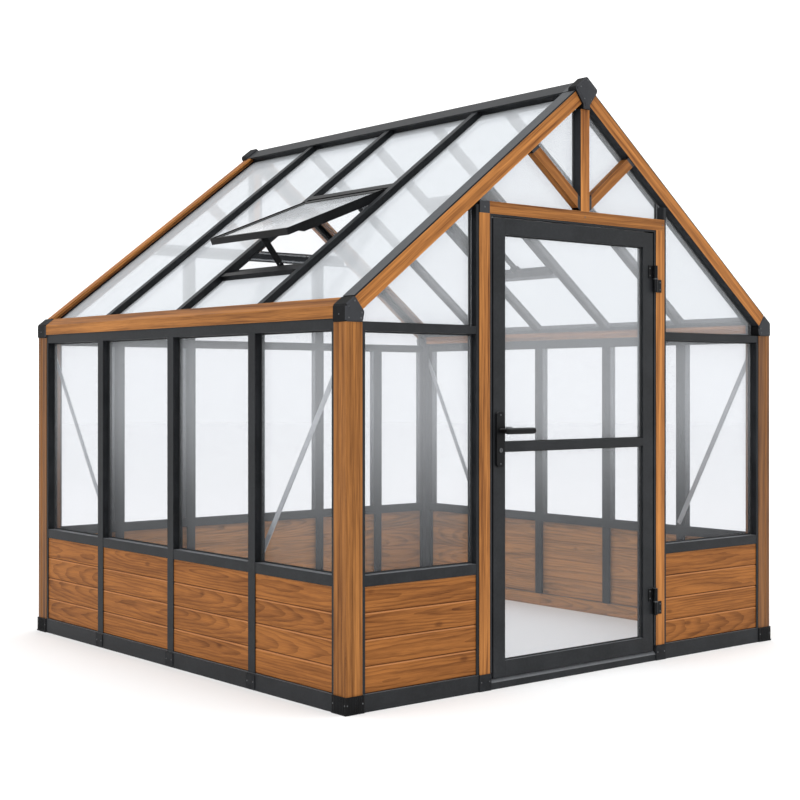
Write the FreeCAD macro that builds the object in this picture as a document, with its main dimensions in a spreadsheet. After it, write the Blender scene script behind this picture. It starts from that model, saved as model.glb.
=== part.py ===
"""Hobby greenhouse: wood-grain and charcoal aluminium frame, clear panes, hinged door, two roof vents.

Millimetres, +Z up.  The origin lies on the ground at the middle of the plan.  The ridge runs along Y,
the door gable faces -Y, and the side walls face -X (left) and +X (right).
"""
import FreeCAD
import Part
import Sketcher
import os
import re

DIMENSIONS = [
    # Overall form
    ("width", 2440, "across the gables, over the corner posts"),
    ("depth", 2400, "along the ridge, over the corner posts"),
    ("post_top", 1390, "top of the corner posts"),
    ("roof_pitch", 37.7, "degrees"),
    ("left_bays", 4, "bays in the left wall and roof slope"),
    ("right_bays", 5, "bays in the right wall and roof slope"),
    ("rear_bays", 6, "bays in the rear wall"),
    # Corner posts and feet
    ("post_size", 75, "square corner post"),
    ("post_wall", 2.5, "post wall"),
    ("post_step", 2, "depth of the shallow step down each post face"),
    ("post_land", 25, "width of the proud land beside the post's outer corner"),
    ("foot_wall", 4, "moulded wall round a post or jamb"),
    ("foot_floor", 6, "floor of a moulded foot"),
    ("foot_lip", 2, "lip round the bottom of a corner foot"),
    ("foot_ear_margin", 24, "ear beyond the anchor hole"),
    ("foot_ear_gap", 4, "ear clear of the base rail"),
    ("anchor_inset", 110, "anchor hole from the outer faces"),
    ("anchor_hole", 10, "anchor hole diameter"),
    ("push_fit", 0.2, "room round a post in its foot"),
    # Base rails
    ("base_height", 64, "base rail height"),
    ("base_depth", 40, "base rail depth"),
    ("base_wall", 2.5, "base rail wall"),
    ("cover_width", 60, "joint cover on the base rail"),
    ("cover_height", 52, "joint cover height"),
    ("cover_thick", 3, "joint cover thickness"),
    # Wall glazing bars
    ("bar_front", 4, "set-back of the bars behind the wall face"),
    ("bar_depth", 46, "depth of a wall bar"),
    ("bar_width", 46, "flange width of a wall bar"),
    ("bar_web", 22, "width of a wall bar's hollow web"),
    ("bar_flange", 4, "flange thickness"),
    ("bar_wall", 3, "wall of the hollow bars and rails"),
    ("liner_width", 14, "flange of the channel beside a post or jamb"),
    ("liner_web", 4, "web of that channel"),
    ("panel_top", 447, "top of the plank panels"),
    ("sill_tall", 40, "height of the sill rail over the planks"),
    ("sill_set", 5, "set-back of the sill and eave rails"),
    ("groove_depth", 10, "glazing groove"),
    ("groove_play", 0.8, "room each side of a pane in its groove"),
    ("glass", 4, "pane thickness"),
    ("glass_fit", 0.3, "room under a pane"),
    ("pane_side_gap", 2, "room at a pane's sides"),
    # Planks
    ("plank_count", 4, "planks in a panel"),
    ("plank_thick", 18, "plank thickness"),
    ("plank_bevel", 4.5, "bevel of the V joint"),
    ("plank_tongue", 5, "tongue thickness"),
    ("plank_tongue_tall", 6, "tongue height"),
    ("plank_gap", 0.3, "room between planks and round a tongue"),
    ("plank_end_gap", 0.5, "room at a plank's ends"),
    # Eaves
    ("eave_rail_drop", 26, "side eave rail below the post tops"),
    ("eave_rail_rise", 14, "side eave rail above the post tops"),
    ("eave_bar_tall", 30, "height of the gable eave bars"),
    ("beam_face", 50, "square face that carries the roof bars"),
    ("beam_wall", 3, "eave beam wall"),
    ("conn_side", 58, "upright side of an eave connector"),
    ("conn_run", 53, "sloped top of the eave beams and connectors"),
    ("conn_face", 68, "connector face that carries a rafter"),
    ("conn_length", 81, "eave connector along the ridge direction"),
    ("conn_proud", 5, "connectors proud of the members"),
    # Roof
    ("rafter_face", 56, "gable rafter, square to the slope"),
    ("rafter_depth", 40, "gable members, front to back"),
    ("rafter_wall", 2.5, "wall of the gable members"),
    ("roof_bar_depth", 36, "roof bar, square to the slope"),
    ("roof_bar_width", 34, "roof bar flange"),
    ("roof_bar_web", 18, "roof bar web"),
    ("roof_flange", 4, "roof bar flange thickness"),
    ("edge_bar_width", 24, "flange of the bar behind a gable rafter"),
    ("edge_bar_depth", 62, "that bar, square to the slope"),
    ("edge_cap_thick", 6, "capping strip over a gable rafter"),
    ("edge_cap_set", 2, "capping strip behind the gable face"),
    ("pane_lap", 10, "gable panes lapped behind the rafters"),
    ("roof_pane_gap", 0.5, "room at the ends of the roof panes"),
    ("ridge_run", 50, "ridge beam along each slope"),
    ("ridge_depth", 45, "ridge beam face that carries the roof bars"),
    ("ridge_bore", 16, "half width of the ridge beam's bore"),
    ("conn_chamfer", 5, "chamfer of the moulded connectors"),
    ("cap_thick", 8, "ridge cap thickness"),
    ("ridge_conn_run", 70, "ridge connector along each slope"),
    ("ridge_conn_face", 60, "ridge connector face that carries a rafter"),
    ("ridge_conn_drop", 109, "underside of the ridge connector below the ridge"),
    ("ridge_conn_proud", 20, "ridge connector above the roof plane"),
    ("ridge_conn_front", 14, "ridge connector proud of the gable"),
    ("ridge_conn_round", 14, "rounding of the ridge connector's apex and shoulders"),
    # Truss
    ("king_width", 50, "king post"),
    ("diagonal_width", 44, "truss diagonal"),
    ("diagonal_angle", 38, "degrees"),
    ("diagonal_depth", 34, "truss diagonal, front to back"),
    ("shoe_length", 16, "dark shoe at a diagonal's end"),
    ("rest_gap", 0.5, "room where a member rests beside another"),
    # Braces
    ("brace_width", 25, "wall brace"),
    ("brace_thick", 3, "wall brace thickness"),
    ("brace_end", 14, "brace beyond its bolt"),
    ("brace_drop", 110, "upper brace bolt below the post top"),
    ("brace_lift", 28, "lower brace bolt above the sill"),
    ("bolt_head", 11, "bolt head diameter"),
    ("bolt_head_tall", 5, "bolt head height"),
    # Door opening
    ("door_offset", -45, "middle of the door from the middle of the gable"),
    ("leaf_width", 924, "door leaf"),
    ("leaf_gap", 8, "room at the leaf's sides"),
    ("frame_width", 12, "door frame beside the leaf"),
    ("frame_head", 8, "door frame over the leaf"),
    ("frame_stop", 15, "door stop behind the leaf"),
    ("stop_thick", 5, "door stop thickness"),
    ("head_gap", 6, "room over the leaf"),
    ("jamb_width", 52, "door jamb"),
    ("header_tall", 47, "header beam"),
    ("header_clear", 3, "header corner below the rafter"),
    ("threshold", 38, "threshold height"),
    ("threshold_depth", 50, "threshold front to back"),
    ("threshold_bevel", 12, "bevel along the threshold's front"),
    ("leaf_lift", 4, "room under the leaf"),
    ("seal_thick", 3, "rubber seal on the stops"),
    ("strike_thick", 1.5, "strike plate"),
    ("strike_tall", 120, "strike plate height"),
    ("strike_wide", 24, "strike plate width"),
    # Door leaf
    ("leaf_thick", 32, "leaf thickness"),
    ("leaf_set", 2, "leaf behind the wall face"),
    ("leaf_wall", 2.5, "wall of the leaf's tubes"),
    ("stile_width", 62, "door stile and end rails"),
    ("mid_rail_tall", 32, "door mid rail"),
    ("mid_rail_height", 928, "middle of the door's mid rail"),
    ("leaf_groove", 6, "width of the leaf's glazing groove"),
    # Door furniture
    ("handle_height", 990, "lever spindle"),
    ("plate_above", 74, "handle plate above the spindle"),
    ("plate_below", 139, "handle plate below the spindle"),
    ("plate_width", 42, "handle plate"),
    ("plate_thick", 9, "handle plate thickness"),
    ("plate_corner", 16, "handle plate's corner radius"),
    ("lever_standoff", 38, "lever grip's middle from its plate"),
    ("lever_length", 136, "lever grip"),
    ("lever_diameter", 25, "lever grip diameter"),
    ("neck_diameter", 20, "lever neck"),
    ("spindle_size", 8, "square spindle"),
    ("spindle_hole", 14, "holes round the spindle"),
    ("turn_gap", 0.3, "running gap of turning and sliding pieces"),
    ("cylinder_drop", 74, "key cylinder below the spindle"),
    ("cylinder_diameter", 17, "key cylinder"),
    ("cylinder_proud", 2, "key cylinder beyond its plates"),
    ("case_tall", 160, "lock case"),
    ("latch_drop", 36, "latch below the spindle"),
    ("latch_tall", 20, "latch bolt height"),
    ("latch_thick", 12, "latch bolt thickness"),
    ("latch_length", 24, "latch bolt"),
    ("latch_throw", 5, "latch nose beyond the leaf edge"),
    # Hinges
    ("hinge_upper", 1615, "middle of the upper hinge"),
    ("hinge_lower", 252, "middle of the lower hinge"),
    ("knuckle_tall", 54, "each hinge knuckle"),
    ("knuckle_diameter", 18, "hinge knuckle"),
    ("washer_tall", 4, "ring between the knuckles"),
    ("washer_diameter", 22, "ring diameter"),
    ("pin_diameter", 10, "hinge pin"),
    ("pin_fit", 0.25, "room round a hinge pin"),
    ("hinge_plate", 3, "hinge plate thickness"),
    ("hinge_plate_width", 30, "hinge plate"),
    # Roof vents
    ("left_vent_bay", 2, "bay of the left vent, counted from the door gable"),
    ("right_vent_bay", 3, "bay of the right vent, counted from the door gable"),
    ("left_vent_open", 16, "degrees the left vent stands open"),
    ("right_vent_open", 0, "degrees the right vent stands open"),
    ("vent_travel", 16, "degrees a vent opens in all"),
    ("left_vent_low", 326, "lower edge of the left sash, up the slope"),
    ("right_vent_low", 470, "lower edge of the right sash, up the slope"),
    ("vent_length", 544, "sash from its lower edge to the hinge"),
    ("vent_clear", 6, "room at a sash's sides"),
    ("sash_width", 28, "sash member"),
    ("sash_thick", 21, "sash thickness"),
    ("sash_wall", 2, "wall of the sash members"),
    ("sash_sink", 1, "sash below the caps of the roof bars"),
    ("vent_bar_width", 30, "fixed bars above and below a vent"),
    ("vent_lap", 19, "sash lapped beyond its sill bar"),
    ("vent_sill_tall", 24, "sill bar, square to the slope"),
    ("vent_curb", 26, "raised bar below a vent, up the slope"),
    ("vent_curb_tall", 22, "that bar, square to the slope"),
    ("vent_curb_gap", 3, "that bar below the sash"),
    ("bead_radius", 4, "hinge bead on the head bar"),
    ("bead_drop", 8, "hinge bead below the caps of the roof bars"),
    ("bead_fit", 0.4, "room between the bead and its hook"),
    ("hook_wall", 2.6, "hook round the bead"),
    ("neck_thick", 3, "neck of the bead"),
    ("neck_length", 10, "head bar behind the bead's middle"),
    # Vent stays
    ("stay_width", 28, "stay arm"),
    ("stay_thick", 4, "stay arm thickness"),
    ("stay_inset", 68, "stay pivot above the sash's lower edge"),
    ("stay_drop", 12, "stay pivot below the sash"),
    ("stay_pin", 6, "stay pivot pin"),
    ("stay_play", 0.3, "room round the pivot pin"),
    ("stay_offset", 4, "stay arm beside the middle of its vent"),
    ("peg_depth", 35, "sill peg below the caps of the roof bars"),
    ("peg_length", 12, "sill peg"),
    ("bracket_thick", 4, "stay brackets"),
]

LAYOUT = [
    ("half_width", "width / 2"),
    ("half_depth", "depth / 2"),
    ("eave_height", "post_top + conn_side"),
    ("slope_length", "half_width / cos(roof_pitch)"),
    ("ridge_height", "eave_height + half_width * tan(roof_pitch)"),
    ("left_pitch", "depth / left_bays"),
    ("right_pitch", "depth / right_bays"),
    ("rear_pitch", "width / rear_bays"),
    # Depths into a wall
    ("bar_back", "bar_front + bar_depth"),
    ("pane_back", "bar_back - bar_flange - glass_fit"),
    ("pane_front", "pane_back - glass"),
    ("groove_front", "pane_front - groove_play"),
    ("groove_back", "pane_back + groove_play"),
    ("plank_front", "bar_front + bar_flange + plank_gap"),
    ("gable_pane", "rafter_depth + glass_fit"),
    ("edge_set", "gable_pane + glass + glass_fit"),
    ("foot_reach", "post_size + foot_wall + push_fit"),
    ("foot_skirt", "foot_wall + push_fit"),
    # Heights
    ("plank_pitch", "(panel_top - base_height) / plank_count"),
    ("sill_top", "panel_top + sill_tall"),
    ("eave_rail_bottom", "post_top - eave_rail_drop"),
    ("beam_bottom", "post_top + eave_rail_rise"),
    ("eave_bar_bottom", "post_top - eave_bar_tall"),
    ("rafter_foot", "eave_height - rafter_face / cos(roof_pitch)"),
    ("gable_foot", "eave_height - max(rafter_face; edge_bar_depth) / cos(roof_pitch)"),
    ("lap_foot", "eave_height - (rafter_face - pane_lap) / cos(roof_pitch)"),
    ("rafter_apex", "ridge_height - rafter_face / cos(roof_pitch)"),
    ("lap_apex", "ridge_height - (rafter_face - pane_lap) / cos(roof_pitch)"),
    ("king_top", "ridge_height - ridge_conn_drop"),
    # Connectors, in the wall's section
    ("conn_top_in", "conn_run * cos(roof_pitch) - conn_proud * sin(roof_pitch)"),
    ("conn_top_z", "eave_height + conn_run * sin(roof_pitch) + conn_proud * cos(roof_pitch)"),
    ("conn_reach", "conn_run * cos(roof_pitch) + conn_face * sin(roof_pitch)"),
    ("conn_reach_z", "eave_height + conn_run * sin(roof_pitch) - conn_face * cos(roof_pitch)"),
    ("conn_shoulder", "eave_height + conn_proud / cos(roof_pitch) - conn_proud * tan(roof_pitch)"),
    ("conn_inner", "conn_length - conn_proud"),
    # Door opening, measured from the middle of the door
    ("leaf_half", "leaf_width / 2"),
    ("frame_in", "leaf_half + leaf_gap"),
    ("jamb_in", "frame_in + frame_width"),
    ("jamb_out", "jamb_in + jamb_width"),
    ("header_top",
     "rafter_foot + (half_width - jamb_out - abs(door_offset)) * tan(roof_pitch) - header_clear"),
    ("header_bottom", "header_top - header_tall"),
    ("frame_top", "header_bottom - frame_head"),
    ("leaf_top", "frame_top - head_gap"),
    ("leaf_bottom", "threshold + leaf_lift"),
    ("leaf_back", "leaf_set + leaf_thick"),
    ("stop_front", "leaf_back + rest_gap + seal_thick"),
    ("stop_back", "stop_front + stop_thick"),
    ("lock_x", "-leaf_half + stile_width / 2"),
    ("hinge_x", "leaf_half + leaf_gap / 2"),
    ("hinge_y", "-knuckle_diameter / 2 - rest_gap"),
    ("mid_rail_low", "mid_rail_height - mid_rail_tall / 2"),
    ("mid_rail_high", "mid_rail_height + mid_rail_tall / 2"),
    ("leaf_groove_front", "(leaf_thick - leaf_groove) / 2"),
    # Truss diagonals
    ("diagonal_half", "diagonal_width / 2 / cos(diagonal_angle)"),
    ("diagonal_foot", "header_top + diagonal_half + rest_gap"),
    ("king_half", "king_width / 2"),
    ("diagonal_spread", "tan(diagonal_angle) + tan(roof_pitch)"),
    ("diagonal_rise", "rafter_apex - diagonal_foot + king_half * tan(diagonal_angle)"),
    ("diagonal_out", "(diagonal_rise + diagonal_half) / diagonal_spread"),
    ("diagonal_in", "(diagonal_rise - diagonal_half) / diagonal_spread"),
    ("tie_half", "half_width - (header_top + header_clear - rafter_foot) / tan(roof_pitch)"),
    ("tie_lap_out", "half_width - (header_bottom + pane_lap - lap_foot) / tan(roof_pitch)"),
    ("gable_top_out", "half_width - (header_top - pane_lap - lap_foot) / tan(roof_pitch)"),
    # Braces
    ("brace_high", "post_top - brace_drop"),
    ("brace_low", "sill_top + brace_lift"),
    ("brace_rise", "brace_high - brace_low"),
    ("left_brace_run", "left_pitch - post_size - liner_width / 2"),
    ("right_brace_run", "right_pitch - post_size - liner_width / 2"),
    ("left_brace_long", "sqrt(left_brace_run * left_brace_run + brace_rise * brace_rise)"),
    ("right_brace_long", "sqrt(right_brace_run * right_brace_run + brace_rise * brace_rise)"),
    # Vents
    ("left_hinge_s", "left_vent_low + vent_length"),
    ("right_hinge_s", "right_vent_low + vent_length"),
    ("vent_sill_top", "sash_low - bead_drop - bracket_thick - rest_gap"),
    ("sash_high", "bead_drop - sash_sink"),
    ("sash_low", "sash_high - sash_thick"),
    ("hook_radius", "bead_radius + bead_fit + hook_wall"),
    ("left_vent_middle", "half_depth - (left_vent_bay - 0.5) * left_pitch"),
    ("right_vent_middle", "(right_vent_bay - 0.5) * right_pitch - half_depth"),
    ("stay_arm", "vent_length - stay_inset"),
    ("stay_pivot", "sash_low - stay_drop"),
    ("peg_run", "stay_arm * cos(vent_travel) - stay_pivot * sin(vent_travel)"),
    ("stay_length",
     "stay_arm * sin(vent_travel) + stay_pivot * cos(vent_travel) + peg_depth - bead_drop"),
]

SIZE_NAMES = {name for name, value, note in DIMENSIONS}
LAYOUT_NAMES = {name for name, formula in LAYOUT}
VALUES = {name: value for name, value, note in DIMENSIONS}

doc = FreeCAD.newDocument("greenhouse")
nodes = []


def formula(text, inside_layout=False):
    """Put the sheet's name in front of every size used in a formula."""
    def with_sheet(match):
        word = match.group(0)
        if word in SIZE_NAMES:
            return "Sizes." + word
        if word in LAYOUT_NAMES and not inside_layout:
            return "Layout." + word
        return word
    return re.sub(r"[a-z_]+", with_sheet, str(text))


def fill_sheets():
    sizes = doc.addObject("Spreadsheet::Sheet", "Sizes")
    for row, (name, value, note) in enumerate(DIMENSIONS, start=1):
        sizes.set(f"A{row}", name)
        sizes.set(f"B{row}", str(value))
        sizes.setAlias(f"B{row}", name)
        sizes.set(f"C{row}", note)
    layout = doc.addObject("Spreadsheet::Sheet", "Layout")
    for row, (name, text) in enumerate(LAYOUT, start=1):
        layout.set(f"A{row}", name)
        layout.setAlias(f"B{row}", name)
        layout.set(f"B{row}", "=" + formula(text, inside_layout=True))
    doc.recompute()


UPRIGHT = "vector(0; 0; 1)"
ALONG_X = "vector(1; 0; 0)"
ALONG_Y = "vector(0; 1; 0)"


def pose(x=0, y=0, z=0, axis=UPRIGHT, angle=0):
    return f"placement(vector({x}; {y}; {z}); rotation({axis}; {angle}))"


def slope_pose(x, heading):
    turn = f"rotation({UPRIGHT}; {heading}) * rotation({ALONG_X}; roof_pitch)"
    return f"placement(vector({x}; 0; eave_height); {turn})"


# In a wall's frame x runs along the wall, y goes inward from its outer face and z goes up.
# In a slope's frame x runs along the ridge, y goes up the slope and z leaves the roof.
# In a sash's frame the origin is the middle of its hinge bead.
FRAMES = {
    "world": pose(),
    "front": pose(y="-half_depth"),
    "rear": pose(y="half_depth", angle=180),
    "left": pose(x="-half_width", angle=-90),
    "right": pose(x="half_width", angle=90),
    "door": pose(x="door_offset", y="-half_depth"),
    "left_slope": slope_pose("-half_width", -90),
    "right_slope": slope_pose("half_width", 90),
}
for side in ("left", "right"):
    FRAMES[side + "_sash"] = (FRAMES[side + "_slope"] + " * "
                              + pose(f"{side}_vent_middle", f"{side}_hinge_s", "-bead_drop", ALONG_X,
                                     f"-{side}_vent_open"))
    FRAMES[side + "_stay"] = (FRAMES[side + "_sash"] + " * "
                              + pose("stay_offset", "-stay_arm", "stay_pivot", ALONG_X,
                                     f"-(90 - vent_travel) * {side}_vent_open / vent_travel"))


def place(piece, x=0, y=0, z=0, axis=UPRIGHT, angle=0, frame="world"):
    """Set a piece in a frame, turned about an axis through its own origin."""
    piece.setExpression("Placement", formula(FRAMES[frame] + " * " + pose(x, y, z, axis, angle)))
    return piece


def copy(piece, name):
    link = doc.addObject("App::Link", name)
    link.LinkedObject = piece
    return link


def add_loop(sketch, outline):
    """Closed polygon whose corners are held by distances from the sketch's origin."""
    first = sketch.GeometryCount
    count = len(outline)
    start = [FreeCAD.Vector(10 * index, 10 * index * index, 0) for index in range(count)]
    lines = [Part.LineSegment(start[index], start[(index + 1) % count]) for index in range(count)]
    sketch.addGeometry(lines, False)
    joins = [Sketcher.Constraint("Coincident", first + index, 2, first + (index + 1) % count, 1)
             for index in range(count)]
    sketch.addConstraint(joins)
    for index, corner in enumerate(outline):
        for kind, distance in zip(("DistanceX", "DistanceY"), corner):
            held = sketch.addConstraint(Sketcher.Constraint(kind, -1, 1, first + index, 1, 1.0))
            sketch.setExpression(f"Constraints[{held}]", formula(distance))


def extrude(name, plane, outline, length, bore=None):
    """Bar, rail or plate: an outline on XY, XZ or YZ carried along +Z, +Y or +X, with an optional bore."""
    body = doc.addObject("PartDesign::Body", name)
    sketch = body.newObject("Sketcher::SketchObject", name + "_section")
    origin_plane = next(item for item in body.Origin.OriginFeatures if item.Role == plane + "_Plane")
    sketch.AttachmentSupport = [(origin_plane, "")]
    sketch.MapMode = "FlatFace"
    add_loop(sketch, outline)
    if bore:
        add_loop(sketch, bore)
    pad = body.newObject("PartDesign::Pad", name + "_pad")
    pad.Profile = sketch
    pad.Reversed = plane == "XZ"
    pad.setExpression("Length", formula(length))
    return body


def chamfer_all(body, size):
    """Chamfer every edge of a moulded block."""
    block = body.Tip
    doc.recompute()
    chamfer = body.newObject("PartDesign::Chamfer", body.Name + "_chamfer")
    chamfer.Base = (block, [f"Edge{index}" for index in range(1, len(block.Shape.Edges) + 1)])
    chamfer.setExpression("Size", formula(size))
    block.Visibility = False
    body.Tip = chamfer
    return body


def round_and_chamfer(body, count, radius, size):
    """Round the highest long edges of a block carried along +Y, then chamfer round its two end faces."""
    doc.recompute()
    block = body.Tip
    long_edges = []
    for number, edge in enumerate(block.Shape.Edges, start=1):
        if edge.BoundBox.YLength > 1:
            long_edges.append((edge.CenterOfMass.z, f"Edge{number}"))
    rounding = body.newObject("PartDesign::Fillet", body.Name + "_rounding")
    rounding.Base = (block, [name for height, name in sorted(long_edges)[-count:]])
    rounding.setExpression("Radius", formula(radius))
    doc.recompute()
    end_edges = [f"Edge{number}" for number, edge in enumerate(rounding.Shape.Edges, start=1)
                 if edge.BoundBox.YLength < 0.01]
    chamfer = body.newObject("PartDesign::Chamfer", body.Name + "_chamfer")
    chamfer.Base = (rounding, end_edges)
    chamfer.setExpression("Size", formula(size))
    block.Visibility = rounding.Visibility = False
    body.Tip = chamfer
    return body


def rectangle(low_x, low_y, high_x, high_y):
    return [(low_x, low_y), (high_x, low_y), (high_x, high_y), (low_x, high_y)]


def inset_rectangle(low_x, low_y, high_x, high_y, wall):
    return rectangle(f"{low_x} + {wall}", f"{low_y} + {wall}", f"{high_x} - {wall}", f"{high_y} - {wall}")


def box(name, long_x, long_y, long_z):
    piece = doc.addObject("Part::Box", name)
    for side, length in zip(("Length", "Width", "Height"), (long_x, long_y, long_z)):
        piece.setExpression(side, formula(length))
    return piece


def rod(name, radius, length):
    piece = doc.addObject("Part::Cylinder", name)
    piece.setExpression("Radius", formula(radius))
    piece.setExpression("Height", formula(length))
    return piece


def lying(piece, toward, x=0, y=0, z=0):
    """Lay a rod along +X or +Y."""
    axis, angle = {"x": (ALONG_Y, 90), "y": (ALONG_X, -90)}[toward]
    return place(piece, x, y, z, axis, angle)


def fuse(name, pieces):
    whole = doc.addObject("Part::MultiFuse", name)
    whole.Shapes = pieces
    return whole


def cut(name, base, *tools):
    for index, tool in enumerate(tools, start=1):
        result = doc.addObject("Part::Cut", name if index == len(tools) else f"{name}_cut_{index}")
        result.Base = base
        result.Tool = tool
        base = result
    return base


def node(label, pieces, frame="world"):
    """One named sub-part: its solids, carried together in one frame."""
    group = doc.addObject("Part::Compound", label)
    group.Label = label
    group.Links = pieces
    group.setExpression("Placement", formula(FRAMES[frame]))
    nodes.append(group)


# Feet, posts and base rails

CORNERS = [
    ("front_left", "-half_width", "-half_depth", 0),
    ("front_right", "half_width", "-half_depth", 90),
    ("rear_right", "half_width", "half_depth", 180),
    ("rear_left", "-half_width", "half_depth", 270),
]


def at_corners(piece, name, z=0):
    """A copy of a corner piece at each corner of the plan."""
    copies = []
    for corner, x, y, angle in CORNERS:
        copies.append(place(copy(piece, f"{corner}_{name}"), x, y, z, angle=angle))
    return copies


def make_feet():
    cup = extrude("foot_cup", "XY", rectangle("-foot_skirt", "-foot_skirt", "foot_reach", "foot_reach"),
                  "base_height")
    lip_out = "-foot_skirt - foot_lip"
    lip = extrude("foot_lip_plate", "XY", rectangle(lip_out, lip_out, "foot_reach", "foot_reach"),
                  "foot_floor")
    ear_low = "base_depth + foot_ear_gap"
    ear_high = "anchor_inset + foot_ear_margin"
    ear = extrude("foot_ear", "XY", rectangle(ear_low, ear_low, ear_high, ear_high), "foot_floor")
    socket = box("foot_socket", "post_size + 2 * push_fit", "post_size + 2 * push_fit", "base_height")
    place(socket, "-push_fit", "-push_fit", "foot_floor")
    anchor = rod("anchor_drill", "anchor_hole / 2", "foot_floor")
    place(anchor, "anchor_inset", "anchor_inset")
    foot = cut("corner_foot", fuse("foot_blank", [cup, lip, ear]), socket, anchor)
    node("corner_feet", at_corners(foot, "foot"))

    long_x = "jamb_width + 2 * foot_skirt"
    long_y = "rafter_depth + 2 * foot_skirt"
    blank = box("jamb_foot_blank", long_x, long_y, "base_height")
    socket = box("jamb_socket", "jamb_width + 2 * push_fit", "rafter_depth + 2 * push_fit", "base_height")
    place(socket, "foot_wall", "foot_wall", "foot_floor")
    foot = cut("jamb_foot", blank, socket)
    pair = []
    for name, x in (("left", "-jamb_out - foot_skirt"), ("right", "jamb_in - foot_skirt")):
        pair.append(place(copy(foot, f"{name}_jamb_foot"), x, "-foot_skirt"))
    node("jamb_feet", pair, "door")


def make_posts():
    size, step, land = "post_size", "post_step", "post_land"
    outline = [(0, 0), (land, 0), (land, step), (size, step),
               (size, size), (step, size), (step, land), (0, land)]
    bore = rectangle("post_step + post_wall", "post_step + post_wall",
                     "post_size - post_wall", "post_size - post_wall")
    post = extrude("corner_post", "XY", outline, "post_top - foot_floor", bore)
    node("corner_posts", at_corners(post, "post", "foot_floor"))


def base_rail(name, start, end, frame):
    section = rectangle(0, 0, "base_depth", "base_height")
    bore = inset_rectangle(0, 0, "base_depth", "base_height", "base_wall")
    return place(extrude(name, "YZ", section, f"{end} - ({start})", bore), start, frame=frame)


def make_base():
    rails = []
    for frame, half in (("left", "half_depth"), ("right", "half_depth"), ("rear", "half_width")):
        rails.append(base_rail(f"{frame}_base_rail", f"-{half} + foot_reach", f"{half} - foot_reach", frame))
    jamb = "jamb_out + foot_skirt"
    rails.append(base_rail("front_left_base_rail", "-half_width + foot_reach", f"door_offset - ({jamb})",
                           "front"))
    rails.append(base_rail("front_right_base_rail", f"door_offset + {jamb}", "half_width - foot_reach",
                           "front"))
    node("base_rails", rails)

    covers = []
    cover = box("joint_cover", "cover_width", "cover_thick", "cover_height")
    for frame, count, centre in mullion_places():
        for index in range(1, count):
            link = copy(cover, f"{frame}_cover_{index}")
            covers.append(place(link, f"{centre(index)} - cover_width / 2", "-cover_thick",
                                "(base_height - cover_height) / 2", frame=frame))
    node("base_joint_covers", covers)

    bevel = "threshold_bevel"
    section = [(0, 0), ("threshold_depth", 0), ("threshold_depth", "threshold"),
               (bevel, "threshold"), (0, f"threshold - {bevel}")]
    low = f"{bevel} + base_wall"
    bore = rectangle(low, "base_wall", "threshold_depth - base_wall", "threshold - base_wall")
    half = "jamb_in - foot_skirt"
    sill = extrude("threshold_bar", "YZ", section, f"2 * ({half})", bore)
    node("door_threshold", [place(sill, f"-({half})")], "door")


# Glazed walls

def mullion_places():
    """Each side or rear wall with its bay count and the place of mullion number index."""
    return [
        ("left", VALUES["left_bays"], lambda index: f"-half_depth + {index} * left_pitch"),
        ("right", VALUES["right_bays"], lambda index: f"-half_depth + {index} * right_pitch"),
        ("rear", VALUES["rear_bays"], lambda index: f"-half_width + {index} * rear_pitch"),
    ]


def bar_section(width, web, front, depth, flange):
    """Flanged bar, symmetrical about its web."""
    half, core = f"{width} / 2", f"{web} / 2"
    inner, outer, back = f"{front} + {flange}", f"{front} + {depth} - {flange}", f"{front} + {depth}"
    return [(f"-{half}", front), (half, front), (half, inner), (core, inner), (core, outer), (half, outer),
            (half, back), (f"-{half}", back), (f"-{half}", outer), (f"-{core}", outer), (f"-{core}", inner),
            (f"-{half}", inner)]


def channel_section(width, web, front, depth, flange):
    """Channel whose back lies on x = 0 and whose flanges point along +x."""
    inner, outer, back = f"{front} + {flange}", f"{front} + {depth} - {flange}", f"{front} + {depth}"
    return [(0, front), (width, front), (width, inner), (web, inner),
            (web, outer), (width, outer), (width, back), (0, back)]


def mirrored(outline):
    return [(f"-({x})", y) for x, y in reversed(outline)]


def make_mullions():
    section = bar_section("bar_width", "bar_web", "bar_front", "bar_depth", "bar_flange")
    core = "bar_web / 2 - bar_wall"
    bore = rectangle(f"-({core})", "bar_front + bar_flange", core, "bar_back - bar_flange")
    tops = {"left": "eave_rail_bottom", "right": "eave_rail_bottom", "rear": "eave_bar_bottom"}
    mullions = []
    for frame, count, centre in mullion_places():
        bar = extrude(f"{frame}_mullion", "XY", section, f"{tops[frame]} - base_height", bore)
        for index in range(1, count):
            link = copy(bar, f"{frame}_mullion_{index}")
            mullions.append(place(link, centre(index), z="base_height", frame=frame))
    node("wall_mullions", mullions)

    bar = extrude("rear_gable_mullion", "XY", section, "header_bottom - post_top", bore)
    uppers = []
    for name, sign in (("left", ""), ("right", "-")):
        uppers.append(place(copy(bar, f"rear_gable_mullion_{name}"), f"{sign}rear_pitch", z="post_top"))
    node("rear_gable_mullions", uppers, "rear")


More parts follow.
